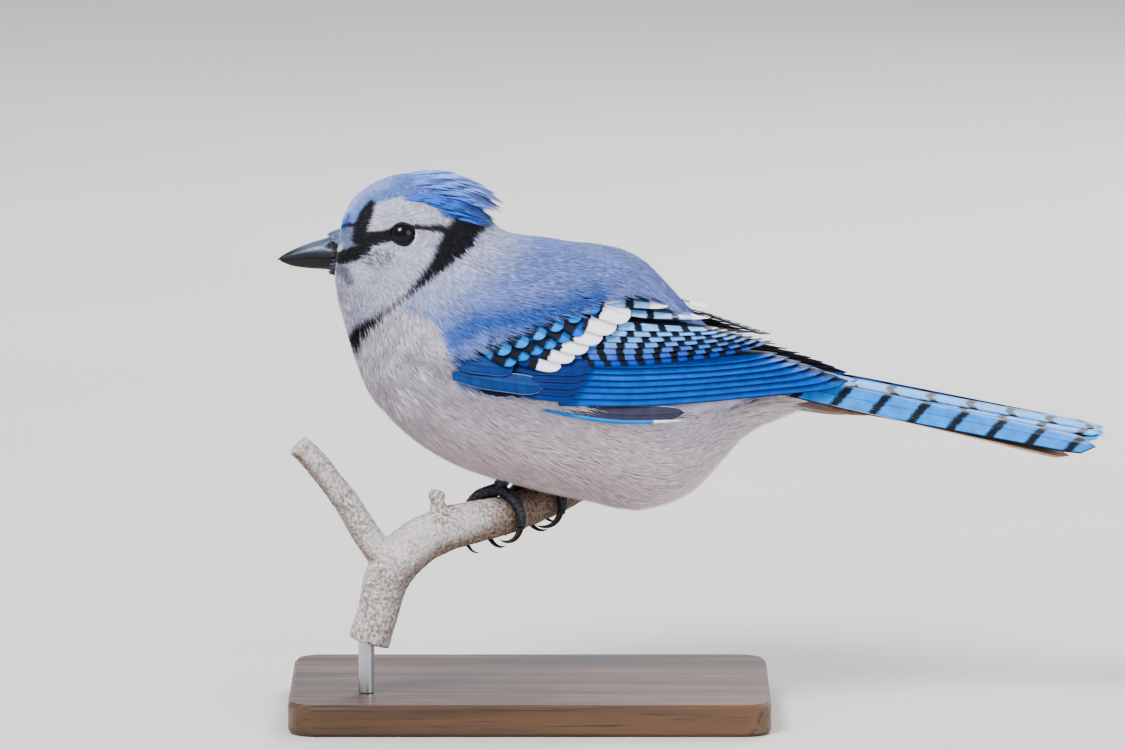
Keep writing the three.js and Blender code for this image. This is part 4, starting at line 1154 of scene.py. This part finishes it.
def wing_arm(side):
    """The arm under the small coverts, as a closed shell: its points and their faces."""
    rows = smooth_rows(WING_SHELL, np.linspace(0, len(WING_SHELL) - 1, ARM_RINGS))
    across = np.linspace(0, 1, ARM_COLUMNS)
    crown = np.sqrt(np.clip(1 - (2 * across - 1) ** 2, 0, 1))
    loops = []
    for station, high, low, height in rows:
        station = np.full(ARM_COLUMNS, station)
        angle = side * np.arccos(1 - 2 * between((high, low), across))
        outer = surface(WING_BED, station, angle, height * crown)
        inner = surface(WING_BED, station, angle, -1.0)
        loops.append(np.vstack([outer, inner[::-1]]))
    return np.vstack(loops), [ring_faces(ARM_RINGS, 2 * ARM_COLUMNS)]


def add_outer_primary(vanes, side):
    """The lowest long feather, grey with a blue lower edge that ends white."""
    form = OUTER_PRIMARY
    rise = np.linspace(-1.0, form["lift"], VANE_ROWS)
    points, normals, across = wing_frames(side, form["root"], form["tip"], rise, form["bow"])
    grey = dict(tint=FEATHER_GREY, rim=1.0)
    vanes.add(points, normals, across, form["width"], grey, blunt=0.25, tilt=0.1)
    points = points + across * LOW_EDGE["down"] + normals * LOW_EDGE["out"]
    vanes.add(points, normals, across, LOW_EDGE["width"], LOW_EDGE, blunt=LOW_EDGE["blunt"])


def make_wing(side, name, vane, plumage):
    vanes = Vanes()
    add_outer_primary(vanes, side)
    for tier in WING_TIERS.values():
        add_tier(vanes, side, **tier)
    vanes.make("wing_feathers_" + name, vane, "wing_feathers", "wing_" + name)
    shell, faces = wing_arm(side)
    colours = np.tile(WING_SHADE, (len(shell), 1))
    arm = make_piece("wing_arm_" + name, shell, faces, colours,
                     {"OFBake": tube_uv(ARM_RINGS, 2 * ARM_COLUMNS, 0)})
    finish_piece(arm, plumage, "wing_feathers")


# The tail, in the same numbers as the solids
TAIL_ROOT = np.array([68, 0, 110.4])
TAIL_SLOPE = math.radians(10.7)
TAIL_ROLL = math.radians(5)
TAIL_LENGTH = 114
TAIL_WIDTH = 15
TAIL_PAIRS = 6
TAIL_STEP = 0.95
TAIL_SPREAD = 1.7
TAIL_SHORTEN = 2.6
TAIL_BARS = (12.6, 0.22, 1, -2.2)
SIDE_WEB = dict(start=3, length=108, out=(9.2, 14.8), lift=-2.5)
SIDE_WEB_LOOK = dict(tint=(0.035, 0.26, 0.72), bars=(12.4, 0.23, 1, -2.4), length=108, rim=-1)
SIDE_WEB_WIDTH = 8.8
# Small feathers over and under the tail's root: each one's length, lift and place of its tip
# across; and for each row its colour, range of shade, start, bluntness and bend
TAIL_COVERTS = (
    (((34, 0.9, 3.4), (28, 1.5, 2.4), (22, 2.1, 3.2), (16, 2.6, 1.6)),
     RUMP, (0.9, 1.1), 1, 0.3, -0.6),
    (((40, -9.5, 3), (33, -10.2, 4.4), (26, -10.8, 2.2)),
     VENT, (0.92, 1.05), 2, 0.35, 1.6),
)
COVERT_WIDTH = 9


def tail_frame():
    """The tail's own directions: along it, across to the right, and out of its top."""
    along = np.array([math.cos(TAIL_SLOPE), 0, -math.sin(TAIL_SLOPE)])
    level = np.array([0, 1, 0])
    up = np.cross(along, level)
    up = up * np.sign(up[2])
    across = math.cos(TAIL_ROLL) * level + math.sin(TAIL_ROLL) * up
    return along, across, np.cross(along, across) * np.sign(np.cross(along, across)[2])


def tail_shaft(side, start, length, out, lift, bend=0.0):
    """Points along a shaft, its side's direction, the tail's top and the share at each row."""
    along, across, normal = tail_frame()
    share = np.linspace(0, 1, VANE_ROWS)[:, None]
    outward = across * side
    points = (TAIL_ROOT + along * (start + length * share) + outward * between(out, share)
              + normal * (lift + bend * share**2))
    return points, outward, normal, share


def add_tail_vane(vanes, side, length, lift, width, out, look, start=0.0, blunt=0.1, bend=0.0):
    points, outward, normal, _ = tail_shaft(side, start, length, out, lift, bend)
    normals = np.tile(normal, (VANE_ROWS, 1))
    vanes.add(points, normals, np.tile(outward, (VANE_ROWS, 1)), width, look, inner=0.58,
              tilt=-0.05, blunt=blunt, cup=0.3)


def add_side_web(vanes, side):
    """The outer web that folds down over one side of the stack, more steeply at its root."""
    points, outward, normal, share = tail_shaft(side, **SIDE_WEB)
    down = unit(outward * (0.5 + 0.42 * share) - normal * (0.9 - 0.4 * share))
    facing = unit(outward - down * (down @ outward)[:, None])
    vanes.add(points, facing, down, SIDE_WEB_WIDTH, SIDE_WEB_LOOK, blunt=0.08, cup=0.5)


def tail_look(pair, length, shade):
    """The lowest pair is plain, painted brown for the warm light reflected onto the tail's grey
    underside. The others are barred, with whiter tips outwards.
    """
    if pair == TAIL_PAIRS - 1:
        return dict(tint=TAIL_UNDER_WARM_BOUNCE, rim=0.3)
    return dict(tint=np.array(TAIL_BLUE) * shade, bars=TAIL_BARS, inner=0.6 * (pair > 0),
                length=TAIL_LENGTH, white=0.6 + 1.6 * pair + TAIL_LENGTH - length)


def make_tail(vane):
    vanes = Vanes()
    for pair in reversed(range(TAIL_PAIRS)):
        length = TAIL_LENGTH - TAIL_SHORTEN * max(0, pair - 1)
        out = (1.6 + 0.5 * pair, 4 + TAIL_SPREAD * pair)
        bend = -2.6 if pair == TAIL_PAIRS - 1 else 0
        for side in (LEFT, RIGHT):
            look = tail_look(pair, length, RANDOM.uniform(0.95, 1.05))
            add_tail_vane(vanes, side, length, -TAIL_STEP * pair, TAIL_WIDTH, out, look,
                          bend=bend)
    for side in (LEFT, RIGHT):
        add_side_web(vanes, side)
    for side in (LEFT, RIGHT):
        for coverts, colour, shades, start, blunt, bend in TAIL_COVERTS:
            for length, lift, out in coverts:
                look = dict(tint=np.array(colour) * RANDOM.uniform(*shades))
                add_tail_vane(vanes, side, length, lift, COVERT_WIDTH, (2, out), look, start,
                              blunt, bend)
    return vanes.make("tail_feathers", vane, "tail_feathers", "tail")


# The crest: feathers lowered along the crown and nape, each a fan of fine locks
CREST_ROWS = [
    dict(station=3.4, tip=(-22.5, 170.0), count=5, root_spread=0.66, tip_spread=9.2, width=6.8),
    dict(station=4.2, tip=(-18, 168.0), count=6, root_spread=0.72, tip_spread=8.8, width=6.6),
    dict(station=4.8, tip=(-13.5, 165.6), count=7, root_spread=0.78, tip_spread=8.2, width=6.2),
    dict(station=5.3, tip=(-10.4, 163.2), count=7, root_spread=0.84, tip_spread=7.2, width=5.8),
    dict(station=5.7, tip=(-8.2, 160.7), count=6, root_spread=0.86, tip_spread=6.0, width=5.4),
]
CREST_LOCKS = 46


def crest_feather(row, share):
    """Paths and normals of one crest feather's locks."""
    swing = 2 * share - 1
    station, angle = row["station"], swing * row["root_spread"]
    root = surface(BODY, np.array(station), np.array(angle), -1.6)
    end = np.array([row["tip"][0] - 2.4 * swing**2, swing * row["tip_spread"],
                    row["tip"][1] - 6.5 * swing**2])
    ahead = unit(end - root)
    outward = unit(np.array([0.35, 0.75 * swing, 1.0]))
    across = unit(np.cross(ahead, outward))
    normal = np.cross(across, ahead)
    spread = RANDOM.uniform(-1, 1, CREST_LOCKS)
    reach = 1.06 - 0.2 * np.abs(spread) ** 2 - RANDOM.uniform(0, 0.18, CREST_LOCKS)
    start = RANDOM.uniform(0, 0.45, CREST_LOCKS)
    rows = []
    for t in LOCK_SHARES:
        s = (start + (reach - start) * t)[:, None]
        fan = (spread * row["width"] / 2)[:, None] * (0.35 + 0.65 * np.sin(np.pi * 0.8 * s))
        arch = 2.0 * np.sin(np.pi * s) + 0.35 - 0.5 * (spread**2)[:, None]
        rows.append(root + (end - root) * s + across * fan + normal * arch)
    paths = np.stack(rows, 1)
    normals = np.broadcast_to(normal, paths.shape)
    return paths, normals


def make_crest(material):
    paths, normals, tints, places = [], [], [], []
    for row in CREST_ROWS:
        for i in range(row["count"]):
            share = i / (row["count"] - 1)
            feather, normal = crest_feather(row, share)
            paths.append(feather)
            normals.append(normal)
            low = abs(2 * share - 1) ** 1.5
            tint = np.array(mixed(CROWN, CREST_LOW, low)) * RANDOM.uniform(0.85, 1.15)
            tints.append(tint * RANDOM.uniform(0.85, 1.15, (CREST_LOCKS, 1)))
            angle = np.full(CREST_LOCKS, (2 * share - 1) * row["root_spread"])
            places.append(bake_place(np.full(CREST_LOCKS, row["station"]), angle))
    paths = np.concatenate(paths)
    widths = RANDOM.uniform(0.45, 0.95, len(paths))
    return make_locks("crest", paths, np.concatenate(normals), widths,
                      np.concatenate(tints), np.concatenate(places), material, "head_plumage")


# Eyes and lids

def eye_frame(side):
    points, normals = side_points(BODY, np.array([EYE_X]), np.array([EYE_Z]), side)
    return points[0], normals[0]


PUPIL = (0.003, 0.003, 0.004)
IRIS = (0.010, 0.006, 0.005)
PUPIL_EDGE = (0.42, 0.47)
EYE_RINGS, EYE_SIDES = 40, 48


def make_eye(side, name, material, lid):
    """A ball set back in the head, and the lid's shell over it."""
    rim, normal = eye_frame(side)
    centre = rim - normal * (math.sqrt(EYE_BALL**2 - EYE_SEAT**2) + EYE_SUNK)
    ahead = unit(np.array([-math.cos(EYE_TURN), 0, -math.sin(EYE_TURN)]))
    ahead = unit(ahead - normal * (ahead @ normal))
    up = np.cross(normal, ahead)
    polar = np.linspace(0, np.pi, EYE_RINGS)
    around = np.linspace(0, 2 * np.pi, EYE_SIDES, endpoint=False)
    polar, around = np.meshgrid(polar, around, indexing="ij")
    points = centre + EYE_BALL * (
        normal * np.cos(polar)[..., None]
        + ahead * (np.sin(polar) * np.cos(around))[..., None]
        + up * (np.sin(polar) * np.sin(around))[..., None])
    pupil = np.broadcast_to(PUPIL, points.shape)
    colours = tinted(pupil, IRIS, smooth_step(polar, *PUPIL_EDGE)).reshape(-1, 3)
    ball = make_piece("eyeball_" + name, points, [ring_faces(EYE_RINGS, EYE_SIDES)], colours,
                      {"OFBake": tube_uv(EYE_RINGS, EYE_SIDES, 0)})
    finish_piece(ball, material, "eye", "eye_" + name)
    make_lid(name, centre, normal, ahead, up, lid)


LID_POINTS = 97
# The lid's section: its reach as a share of the opening, and its height over the ball
LID_LOOP = [(1.42, 0.05), (1.2, 0.05), (1.0, 0.08), (0.985, 0.28), (1.04, 0.42), (1.14, 0.34),
            (1.28, 0.2), (1.42, 0.15)]


def make_lid(name, centre, normal, ahead, up, material):
    """A thin shell over the ball round an almond opening, with a raised rim."""
    turn = np.linspace(0, 2 * np.pi, LID_POINTS)
    corner = 1 + 0.12 * np.exp(-((np.mod(turn, 2 * np.pi) - np.pi) / 0.3) ** 2)
    rings = []
    for reach, rise in LID_LOOP:
        forward = EYE_OPENING[0] * np.cos(turn) * corner * reach
        upward = EYE_OPENING[1] * np.sin(turn) * reach
        height = np.sqrt(np.clip(EYE_BALL**2 - forward**2 - upward**2, 0.3, None)) + rise
        rings.append(centre + ahead * forward[:, None] + up * upward[:, None]
                     + normal * height[:, None])
    points = np.stack(rings, 1)
    piece = make_piece("lid_" + name, points, [ring_faces(LID_POINTS, len(LID_LOOP))], None,
                       {"OFBake": tube_uv(LID_POINTS, len(LID_LOOP), 0)})
    finish_piece(piece, material, "eye")


# The bill

CULMEN = [
    (-56, 151.8, 5.0),
    (-60, 151.0, 4.7),
    (-64.2, 149.6, 4.0),
    (-68.9, 148.2, 3.2),
    (-73.6, 146.3, 2.1),
    (-77.2, 144.4, 1.0),
    (-78.9, 143.0, 0.35),
]
GONYS = [
    (-56, 139.2, 4.7),
    (-60, 139.6, 4.4),
    (-64.2, 140.0, 3.7),
    (-68.9, 140.3, 2.9),
    (-73.6, 140.9, 1.8),
    (-76.6, 141.9, 0.8),
    (-78.0, 142.7, 0.3),
]
MOUTH_Z = 144.3
NOSTRIL = np.array([-61.6, 3.9, 147.9])
NOSTRIL_DENT = np.array([1.9, 1.6, 0.85])
NOSTRIL_SHADE = np.array([1.7, 2.0, 0.8])
# How far round the nostril the tufts are painted black as shade
TUFTS_SHADED_ROUND_NOSTRIL = np.array([2.4, 3.0, 1.5])
HORN_DARK = (0.012, 0.014, 0.024)
# Painted sheen on the upper bill's ridge
HORN_RIDGE_SHEEN = (0.085, 0.12, 0.20)
HORN_BLACK = (0.006, 0.006, 0.008)
# Painted shade in the nostrils
NOSTRIL_SHADE_BLACK = (0.004, 0.004, 0.006)
BILL_RINGS, BILL_ARC = 56, 36
BILL_ROUND = 0.92


def nostril_distance(points, side, size):
    return np.linalg.norm((points - NOSTRIL * [1, side, 1]) / size, axis=-1)


def mandible(rows, sign):
    """A half bill on the mouth's line, with a sharper ridge and a thin cutting edge."""
    table = smooth_rows(rows, np.linspace(0, len(rows) - 1, BILL_RINGS))
    x, outline, width = (table[:, k][:, None] for k in range(3))
    mouth = MOUTH_Z - 0.0075 * np.maximum(0, -66 - x) ** 2
    edge = mouth - (0.2 if sign > 0 else 0.02)
    width = width * (1.0 if sign > 0 else 0.94)
    angle = np.linspace(0, np.pi, BILL_ARC)[None, :]
    ridge = np.sin(angle) ** BILL_ROUND
    y = width * np.cos(angle) * (1 + 0.03 * np.sin(angle))
    z = edge + (outline - edge) * ridge
    points = np.stack([np.broadcast_to(x, y.shape), y, z], -1)
    if sign > 0:
        for side in (LEFT, RIGHT):
            points[..., 1] -= side * np.exp(-nostril_distance(points, side, NOSTRIL_DENT) ** 2)
    return points


def bill_colours(points):
    """The upper half, paler towards its ridge as a painted blue-grey sheen, and black in the
    nostrils as painted shade.
    """
    # Painted sheen: paler blue-grey towards the ridge
    ridge = smooth_step(points[..., 2] - MOUTH_Z, 0.6, 3.6)
    colours = tinted(np.broadcast_to(HORN_DARK, points.shape), HORN_RIDGE_SHEEN, ridge)
    # Painted shade: black in the nostrils
    for side in (LEFT, RIGHT):
        off = nostril_distance(points, side, NOSTRIL_SHADE)
        colours = tinted(colours, NOSTRIL_SHADE_BLACK, smooth_step(off, 1.3, 0.8))
    return colours


def make_bill(name, rows, sign, material):
    points = mandible(rows, sign)
    colours = bill_colours(points) if sign > 0 else np.broadcast_to(HORN_BLACK, points.shape)
    spoke = np.arange(BILL_ARC - 2)
    cap = np.stack([spoke + 1, spoke + 2, np.zeros_like(spoke)], -1)
    piece = make_piece(name + "_horn", points, [ring_faces(BILL_RINGS, BILL_ARC), cap],
                       colours.reshape(-1, 3), {"OFBake": tube_uv(BILL_RINGS, BILL_ARC, 0)})
    finish_piece(piece, material, "bill", name)


def make_tufts(name, material, outline, sign, count, colour):
    """Small bristly feathers that lie forward over one half of the bill's base.

    outline is that half's outline. sign is 1 for the upper half and -1 for the lower one.
    """
    side = RANDOM.choice([LEFT, RIGHT], count)
    turn = RANDOM.uniform(0.03, 1, count)
    start = RANDOM.uniform(-60.6, -56.5, count) + 1.6 * (1 - turn)
    length = RANDOM.uniform(1.8, 3.4, count)
    lift = RANDOM.uniform(0.25, 1.15, count)
    rows = []
    for share in LOCK_SHARES:
        x = start - length * share
        table = smooth_rows(outline, np.interp(-x, [-row[0] for row in outline],
                                               np.arange(len(outline))))
        angle = np.pi / 2 * (turn + RANDOM.normal(0, 0.015, count) * share)
        rise = 0.2 + lift * math.sin(0.75 * np.pi * share) + 1.1 * (1 - share) ** 2 * turn
        y = side * (table[:, 2] + rise) * np.cos(angle)
        z = MOUTH_Z + (table[:, 1] - MOUTH_Z + sign * rise) * np.sin(angle) ** BILL_ROUND
        rows.append(np.stack([x, y, z], -1))
    paths = np.stack(rows, 1)
    normals = unit(np.stack([np.full(count, -0.15), side * np.cos(turn * np.pi / 2),
                             sign * np.sin(turn * np.pi / 2)], -1))
    tints = np.array(colour) * RANDOM.uniform(0.6, 1.5, (count, 1))
    mirrored = np.stack([np.ones(count), side, np.ones(count)], -1)
    # Painted shade: the tufts round the nostril are black. A few at random, and those low by the
    # mouth, are black too.
    nostril = nostril_distance(paths[:, 1] * mirrored, 1, TUFTS_SHADED_ROUND_NOSTRIL)
    dark = (nostril < 1) | (RANDOM.random(count) < 0.12) | (turn < 0.16)
    tints[dark] = BLACK
    place = bake_place(np.full(count, 0.4), side * (1 - turn) * np.pi / 2)
    make_locks(name, paths, np.repeat(normals[:, None], len(LOCK_SHARES), 1),
               RANDOM.uniform(0.18, 0.3, count), tints, place, material, "head_plumage")


# The perch

PERCH_PATH = [
    (-50.2, -24, 26, 6.7),
    (-47, -24, 36.5, 6.5),
    (-44.6, -23.6, 45.8, 7.2),
    (-40.6, -23, 52, 7.6),
    (-34.4, -21.4, 57.2, 7.3),
    (-26.6, -18.5, 60.6, 7.0),
    (-18.8, -13.8, 61.9, 6.7),
    (-10.6, -7.6, 62.8, 6.3),
    (-3, 1, 63.8, 6.1),
    (4.4, 12, 65.2, 5.9),
    (10.6, 24, 66.2, 5.7),
    (15, 36, 66.6, 5.4),
]
SIDE_BRANCH_PATH = [
    (-43.6, -23.6, 50, 5.0),
    (-50.2, -24.4, 59.2, 4.5),
    (-58.4, -25.4, 72.4, 4.0),
    (-66.6, -26.6, 83, 3.8),
    (-72.0, -27.4, 88.8, 3.7),
]
KNOB_PATH = [
    (-28.2, -18.8, 62, 3.2),
    (-28.4, -18.9, 67, 2.6),
    (-28.8, -19, 69.6, 2.4),
    (-29, -19, 72, 2.7),
    (-28.9, -19, 73.2, 1.8),
]
BARK_VOXEL = 0.55
BARK_ROUGHNESS = 0.22
BARK_SUNK = 0.08
BARK_LUMPS = [(0.5, 7, 21), (0.35, 2.6, 23), (0.3, 1.1, 25)]
LIMB_RUN = np.array([0.55, 0.35, 0.5])
TUBE_ACROSS = np.array([1, -0.6, -0.2])


def path_tube(path, rings, sides):
    table = smooth_rows(path, np.linspace(0, len(path) - 1, rings))
    return tube(table[:, :3], table[:, 3], sides, TUBE_ACROSS)


def vertex_values(mesh, name):
    values = np.empty(len(mesh.vertices) * 3, np.float32)
    mesh.vertices.foreach_get(name, values)
    return values.reshape(-1, 3)


def grown_limb():
    """Points, normals and quads of the limb, its side branch and the knob as one surface."""
    sleeves = [path_tube(PERCH_PATH, 90, 32), path_tube(SIDE_BRANCH_PATH, 50, 24),
               path_tube(KNOB_PATH, 16, 16)]
    rough = make_piece("rough_limb", *joined(sleeves))
    remesh = rough.modifiers.new("grown", "REMESH")
    remesh.mode = "VOXEL"
    remesh.voxel_size = BARK_VOXEL * MM
    rough.modifiers.new("soften", "SMOOTH").iterations = 6
    evaluated = rough.evaluated_get(bpy.context.evaluated_depsgraph_get())
    mesh = bpy.data.meshes.new_from_object(evaluated)
    corners = np.empty(len(mesh.loops), np.int32)
    mesh.loops.foreach_get("vertex_index", corners)
    points, normals = vertex_values(mesh, "co") / MM, vertex_values(mesh, "normal")
    bpy.data.objects.remove(rough)
    return points, normals, corners.reshape(-1, 4)


def make_perch(material):
    """The limb with its bark's lumps, painted paler on top and where it is far from the belly as
    painted light, and darker below and under the belly as painted shade.
    """
    points, normals, quads = grown_limb()
    lumps = sum(share * flow_noise(points, size, seed) for share, size, seed in BARK_LUMPS)
    points = points + normals * (lumps * BARK_ROUGHNESS - BARK_SUNK)[:, None]
    # Painted light from above, and painted shade under the bird's belly
    lit = 0.35 + 0.65 * smooth_step(normals[:, 2], -0.7, 0.4)
    shaded = smooth_step(points[:, 0], -22, -2)
    pale = np.clip(lit * (1 - 0.75 * shaded), 0, 1)
    around = np.arctan2(normals[:, 1], normals[:, 2]) / (2 * np.pi) + 0.5
    along = (points @ unit(LIMB_RUN) + 60) / 140
    perch = make_piece("bark", points, [quads], np.stack([pale] * 3, -1),
                       {"OFBake": np.stack([around, np.clip(along, 0, 1)], -1)})
    finish_piece(perch, material, "bark", "perch", "perch_side_branch")


# Feet, wrapped round the limb

TOES = [
    dict(name="1", drift=0.12, reach=-112, claw=-82, claw_radius=1.15, rise=0.4),
    dict(name="2", drift=0.6, reach=96, claw=62, claw_radius=0.95, rise=1.2),
    dict(name="3", drift=0.02, reach=128, claw=62, claw_radius=1.0, rise=2.0),
    dict(name="4", drift=-0.85, reach=104, claw=74, claw_radius=0.95, rise=2.4),
]
FEET = {"left": (LEFT, 7.15), "right": (RIGHT, 8.95)}
HUB_HEIGHT = 2.3
TOE_RADIUS = 1.6
TOE_CLEAR = 0.45
LIMB_AT_FEET = np.array([0.54, 0.83, 0.13])
SCUTE_LENGTH = 1.25
TOE_RINGS, SHANK_RINGS, FOOT_SIDES = 64, 60, 18
CLAW_RINGS, CLAW_SIDES = 34, 14
# Shares of the length, and the radii or the share of the radius at them
TOE_RADII = ([0, 0.25, 0.5, 0.75, 1], [1.85, 1.75, 1.65, 1.55, 1.3])
SHANK_RADII = ([0, 0.2, 1], [1.6, 2.1, 1.8])
CLAW_RADII = ([-0.06, 0.0, 0.3, 0.55, 0.8, 1], [0.9, 1.08, 0.92, 0.68, 0.4, 0.06])
SHANK_SPAN = (-1.4, 11)


def round_perch(station, degrees, height):
    """Points round the limb, in degrees from its top, positive over the far side."""
    station, degrees, height = np.broadcast_arrays(station, degrees, height)
    here = smooth_rows(PERCH_PATH, station)
    step = 0.02
    ahead = smooth_rows(PERCH_PATH, np.minimum(station + step, len(PERCH_PATH) - 1))
    tangent = unit(ahead[..., :3] - here[..., :3])
    front = unit(np.cross(np.broadcast_to([0.0, 0.0, 1.0], tangent.shape), tangent))
    top = np.cross(tangent, front)
    angle = np.radians(degrees)[..., None]
    reach = (here[..., 3] + height)[..., None]
    return here[..., :3] + reach * (top * np.cos(angle) + front * np.sin(angle))


def toe_centres(station, side, toe, count):
    share = np.linspace(0, 1, count)
    end = station - toe["drift"] * side
    low = TOE_RADIUS + TOE_CLEAR
    height = low + (HUB_HEIGHT - low) * np.clip(1 - 4 * share, 0, 1)
    return round_perch(station + (end - station) * share**0.8, toe["reach"] * share, height)


def scaly_tube(centres, radii, sides):
    """A tube whose upper side carries a row of overlapping scutes and whose joints swell."""
    count = len(centres)
    steps = np.linalg.norm(np.diff(centres, axis=0), axis=-1)
    travelled = np.concatenate([[0], np.cumsum(steps)])
    saw = np.mod(travelled / SCUTE_LENGTH, 1.0)
    scute = 0.09 * (1 - saw) ** 0.6 - 0.03
    pads = 0.09 * np.cos(travelled / travelled[-1] * 2 * np.pi * 2.5)
    angle = np.linspace(0, 2 * np.pi, sides, endpoint=False)
    ripple = 0.03 * np.sin(travelled * 4.2)[:, None] * np.sin(angle * 3)[None, :]
    stretch = 1 + scute[:, None] + pads[:, None] * 0.6 + ripple
    return tube(centres, radii, sides, LIMB_AT_FEET, stretch.reshape(count, sides))


def make_foot(name, side, station, skin, horn):
    parts = []
    for toe in TOES:
        centres = toe_centres(station, side, toe, TOE_RINGS)
        radii = np.interp(np.linspace(0, 1, TOE_RINGS), *TOE_RADII)
        parts.append(scaly_tube(centres, radii, FOOT_SIDES))
    hub = round_perch(station, 0.0, HUB_HEIGHT + 0.3)
    knee = round_perch(station, 0.0, HUB_HEIGHT + 1.2) + [6, side * 1.5, 9]
    down = unit(knee - hub)
    shank = hub + np.linspace(*SHANK_SPAN, SHANK_RINGS)[:, None] * down
    radii = np.interp(np.linspace(0, 1, SHANK_RINGS), *SHANK_RADII)
    parts.append(scaly_tube(shank, radii, FOOT_SIDES))
    points, faces = joined(parts)
    rings = [TOE_RINGS] * len(TOES) + [SHANK_RINGS]
    uv = np.vstack([tube_uv(count, FOOT_SIDES) * [0.19, 1] + [0.2 * k, 0]
                    for k, count in enumerate(rings)])
    foot = make_piece("foot_skin_" + name, points, faces, None, {"OFBake": uv})
    finish_piece(foot, skin, "foot", "foot_" + name, "leg_" + name)
    for toe in TOES:
        make_claw(name, side, station, toe, horn)


def make_claw(name, side, station, toe, material):
    share = np.linspace(CLAW_RADII[0][0], 1, CLAW_RINGS)
    end = station - toe["drift"] * side
    low = TOE_RADIUS + TOE_CLEAR
    height = low - 0.2 + toe["rise"] * np.sin(2.4 * np.clip(share, 0, 1))
    centres = round_perch(end, toe["reach"] + toe["claw"] * share, height)
    radii = toe["claw_radius"] * np.interp(share, *CLAW_RADII)
    angle = np.linspace(0, 2 * np.pi, CLAW_SIDES, endpoint=False)
    stretch = np.broadcast_to(1 - 0.16 * np.abs(np.cos(angle)), (CLAW_RINGS, CLAW_SIDES))
    points, faces = tube(centres, radii, CLAW_SIDES, LIMB_AT_FEET, stretch)
    claw = make_piece(f"horn_{name}_{toe['name']}", points, faces, None,
                      {"OFBake": tube_uv(CLAW_RINGS, CLAW_SIDES)})
    finish_piece(claw, material, "claw", f"claw_{name}_{toe['name']}")


# Stand, floor, light and camera

def dress_stand(frame_nodes):
    for node, material in (("stand_base", stand_wood_material()), ("stand_rod", steel_material())):
        piece = frame_nodes[node]
        if piece.material_slots:
            piece.material_slots[0].material = material
        else:
            piece.data.materials.append(material)


FLOOR_REACH = 6000
SKY_COLOUR = (0.80, 0.87, 1.0, 1)
SKY_STRENGTH = 0.72
LIT_POINT = (0.0, 0.0, 0.11)
# Each lamp's place, size, power and colour
LAMPS = {
    "key": ((-0.9, -1.3, 1.7), 0.9, 50, (1.0, 0.98, 0.95)),
    "fill": ((1.5, -1.4, 0.8), 1.4, 15, (0.92, 0.95, 1.0)),
    "rim": ((0.6, 1.4, 1.3), 1.0, 26, (1.0, 0.98, 0.95)),
}


def make_floor():
    corners = ((-1, -1, 0), (1, -1, 0), (1, 1, 0), (-1, 1, 0))
    points = np.array(corners) * FLOOR_REACH
    floor = make_piece("floor", points, [np.array([[0, 1, 2, 3]])])
    floor.data.materials.append(floor_material())


def aim(thing, target):
    direction = unit(np.asarray(target, float) - np.asarray(thing.location))
    yaw = math.atan2(direction[0], -direction[1]) if abs(direction[2]) < 1 else 0
    thing.rotation_euler = (math.acos(-direction[2]), 0, yaw + math.pi)


def add_area_light(name, place, size, power, colour):
    light = bpy.data.lights.new(name, "AREA")
    light.shape = "DISK"
    light.size = size
    light.energy = power
    light.color = colour
    lamp = bpy.data.objects.new(name, light)
    lamp.location = place
    bpy.context.scene.collection.objects.link(lamp)
    aim(lamp, LIT_POINT)


def light_studio():
    bpy.context.scene.view_settings.look = "AgX - Medium High Contrast"
    world = bpy.data.worlds.new("studio")
    bpy.context.scene.world = world
    world.use_nodes = True
    background = world.node_tree.nodes["Background"]
    background.inputs[0].default_value = SKY_COLOUR
    background.inputs[1].default_value = SKY_STRENGTH
    for name, lamp in LAMPS.items():
        add_area_light(name, *lamp)


def place_camera():
    data = bpy.data.cameras.new("camera")
    camera = bpy.data.objects.new("camera", data)
    bpy.context.scene.collection.objects.link(camera)
    data.sensor_width = 36
    data.lens = 36 * CAMERA_DISTANCE / CAMERA_SPAN
    data.clip_end = 100
    target = np.array(CAMERA_TARGET) * MM
    back = np.array([0, -math.cos(CAMERA_ELEVATION), math.sin(CAMERA_ELEVATION)])
    camera.location = target + back * CAMERA_DISTANCE * MM
    camera.rotation_euler = (math.pi / 2 - CAMERA_ELEVATION, 0, 0)
    bpy.context.scene.camera = camera


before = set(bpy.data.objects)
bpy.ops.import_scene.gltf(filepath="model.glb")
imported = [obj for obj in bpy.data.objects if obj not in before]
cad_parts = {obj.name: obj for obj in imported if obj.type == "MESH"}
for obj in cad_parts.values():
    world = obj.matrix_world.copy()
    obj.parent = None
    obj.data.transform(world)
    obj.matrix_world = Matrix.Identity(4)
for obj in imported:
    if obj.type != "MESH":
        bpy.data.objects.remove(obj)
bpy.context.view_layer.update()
place_camera()
light_studio()
make_floor()
dress_stand(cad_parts)

plumage = plumage_material()
vane = vane_material()
sides = ((LEFT, "left"), (RIGHT, "right"))
make_skin(plumage)
make_coat(plumage)
make_crest(plumage)
make_tufts("nasal_tufts", plumage, CULMEN, 1, 3600, NASAL)
make_tufts("chin_tufts", plumage, GONYS, -1, 2200, CHIN_TUFT)
for wing_side, wing_name in sides:
    make_wing(wing_side, wing_name, vane, plumage)
make_tail(vane)
eye, lid_skin = eye_material(), lid_material()
for eye_side, eye_name in sides:
    make_eye(eye_side, eye_name, eye, lid_skin)
make_bill("bill_upper", CULMEN, 1, bill_material("bill_upper_horn", 1))
make_bill("bill_lower", GONYS, -1, bill_material("bill_lower_horn", 0))
make_perch(bark_material())
foot_skin, claw_horn = foot_material(), claw_material()
for foot_name, (foot_side, foot_station) in FEET.items():
    make_foot(foot_name, foot_side, foot_station, foot_skin, claw_horn)

bpy.context.view_layer.update()
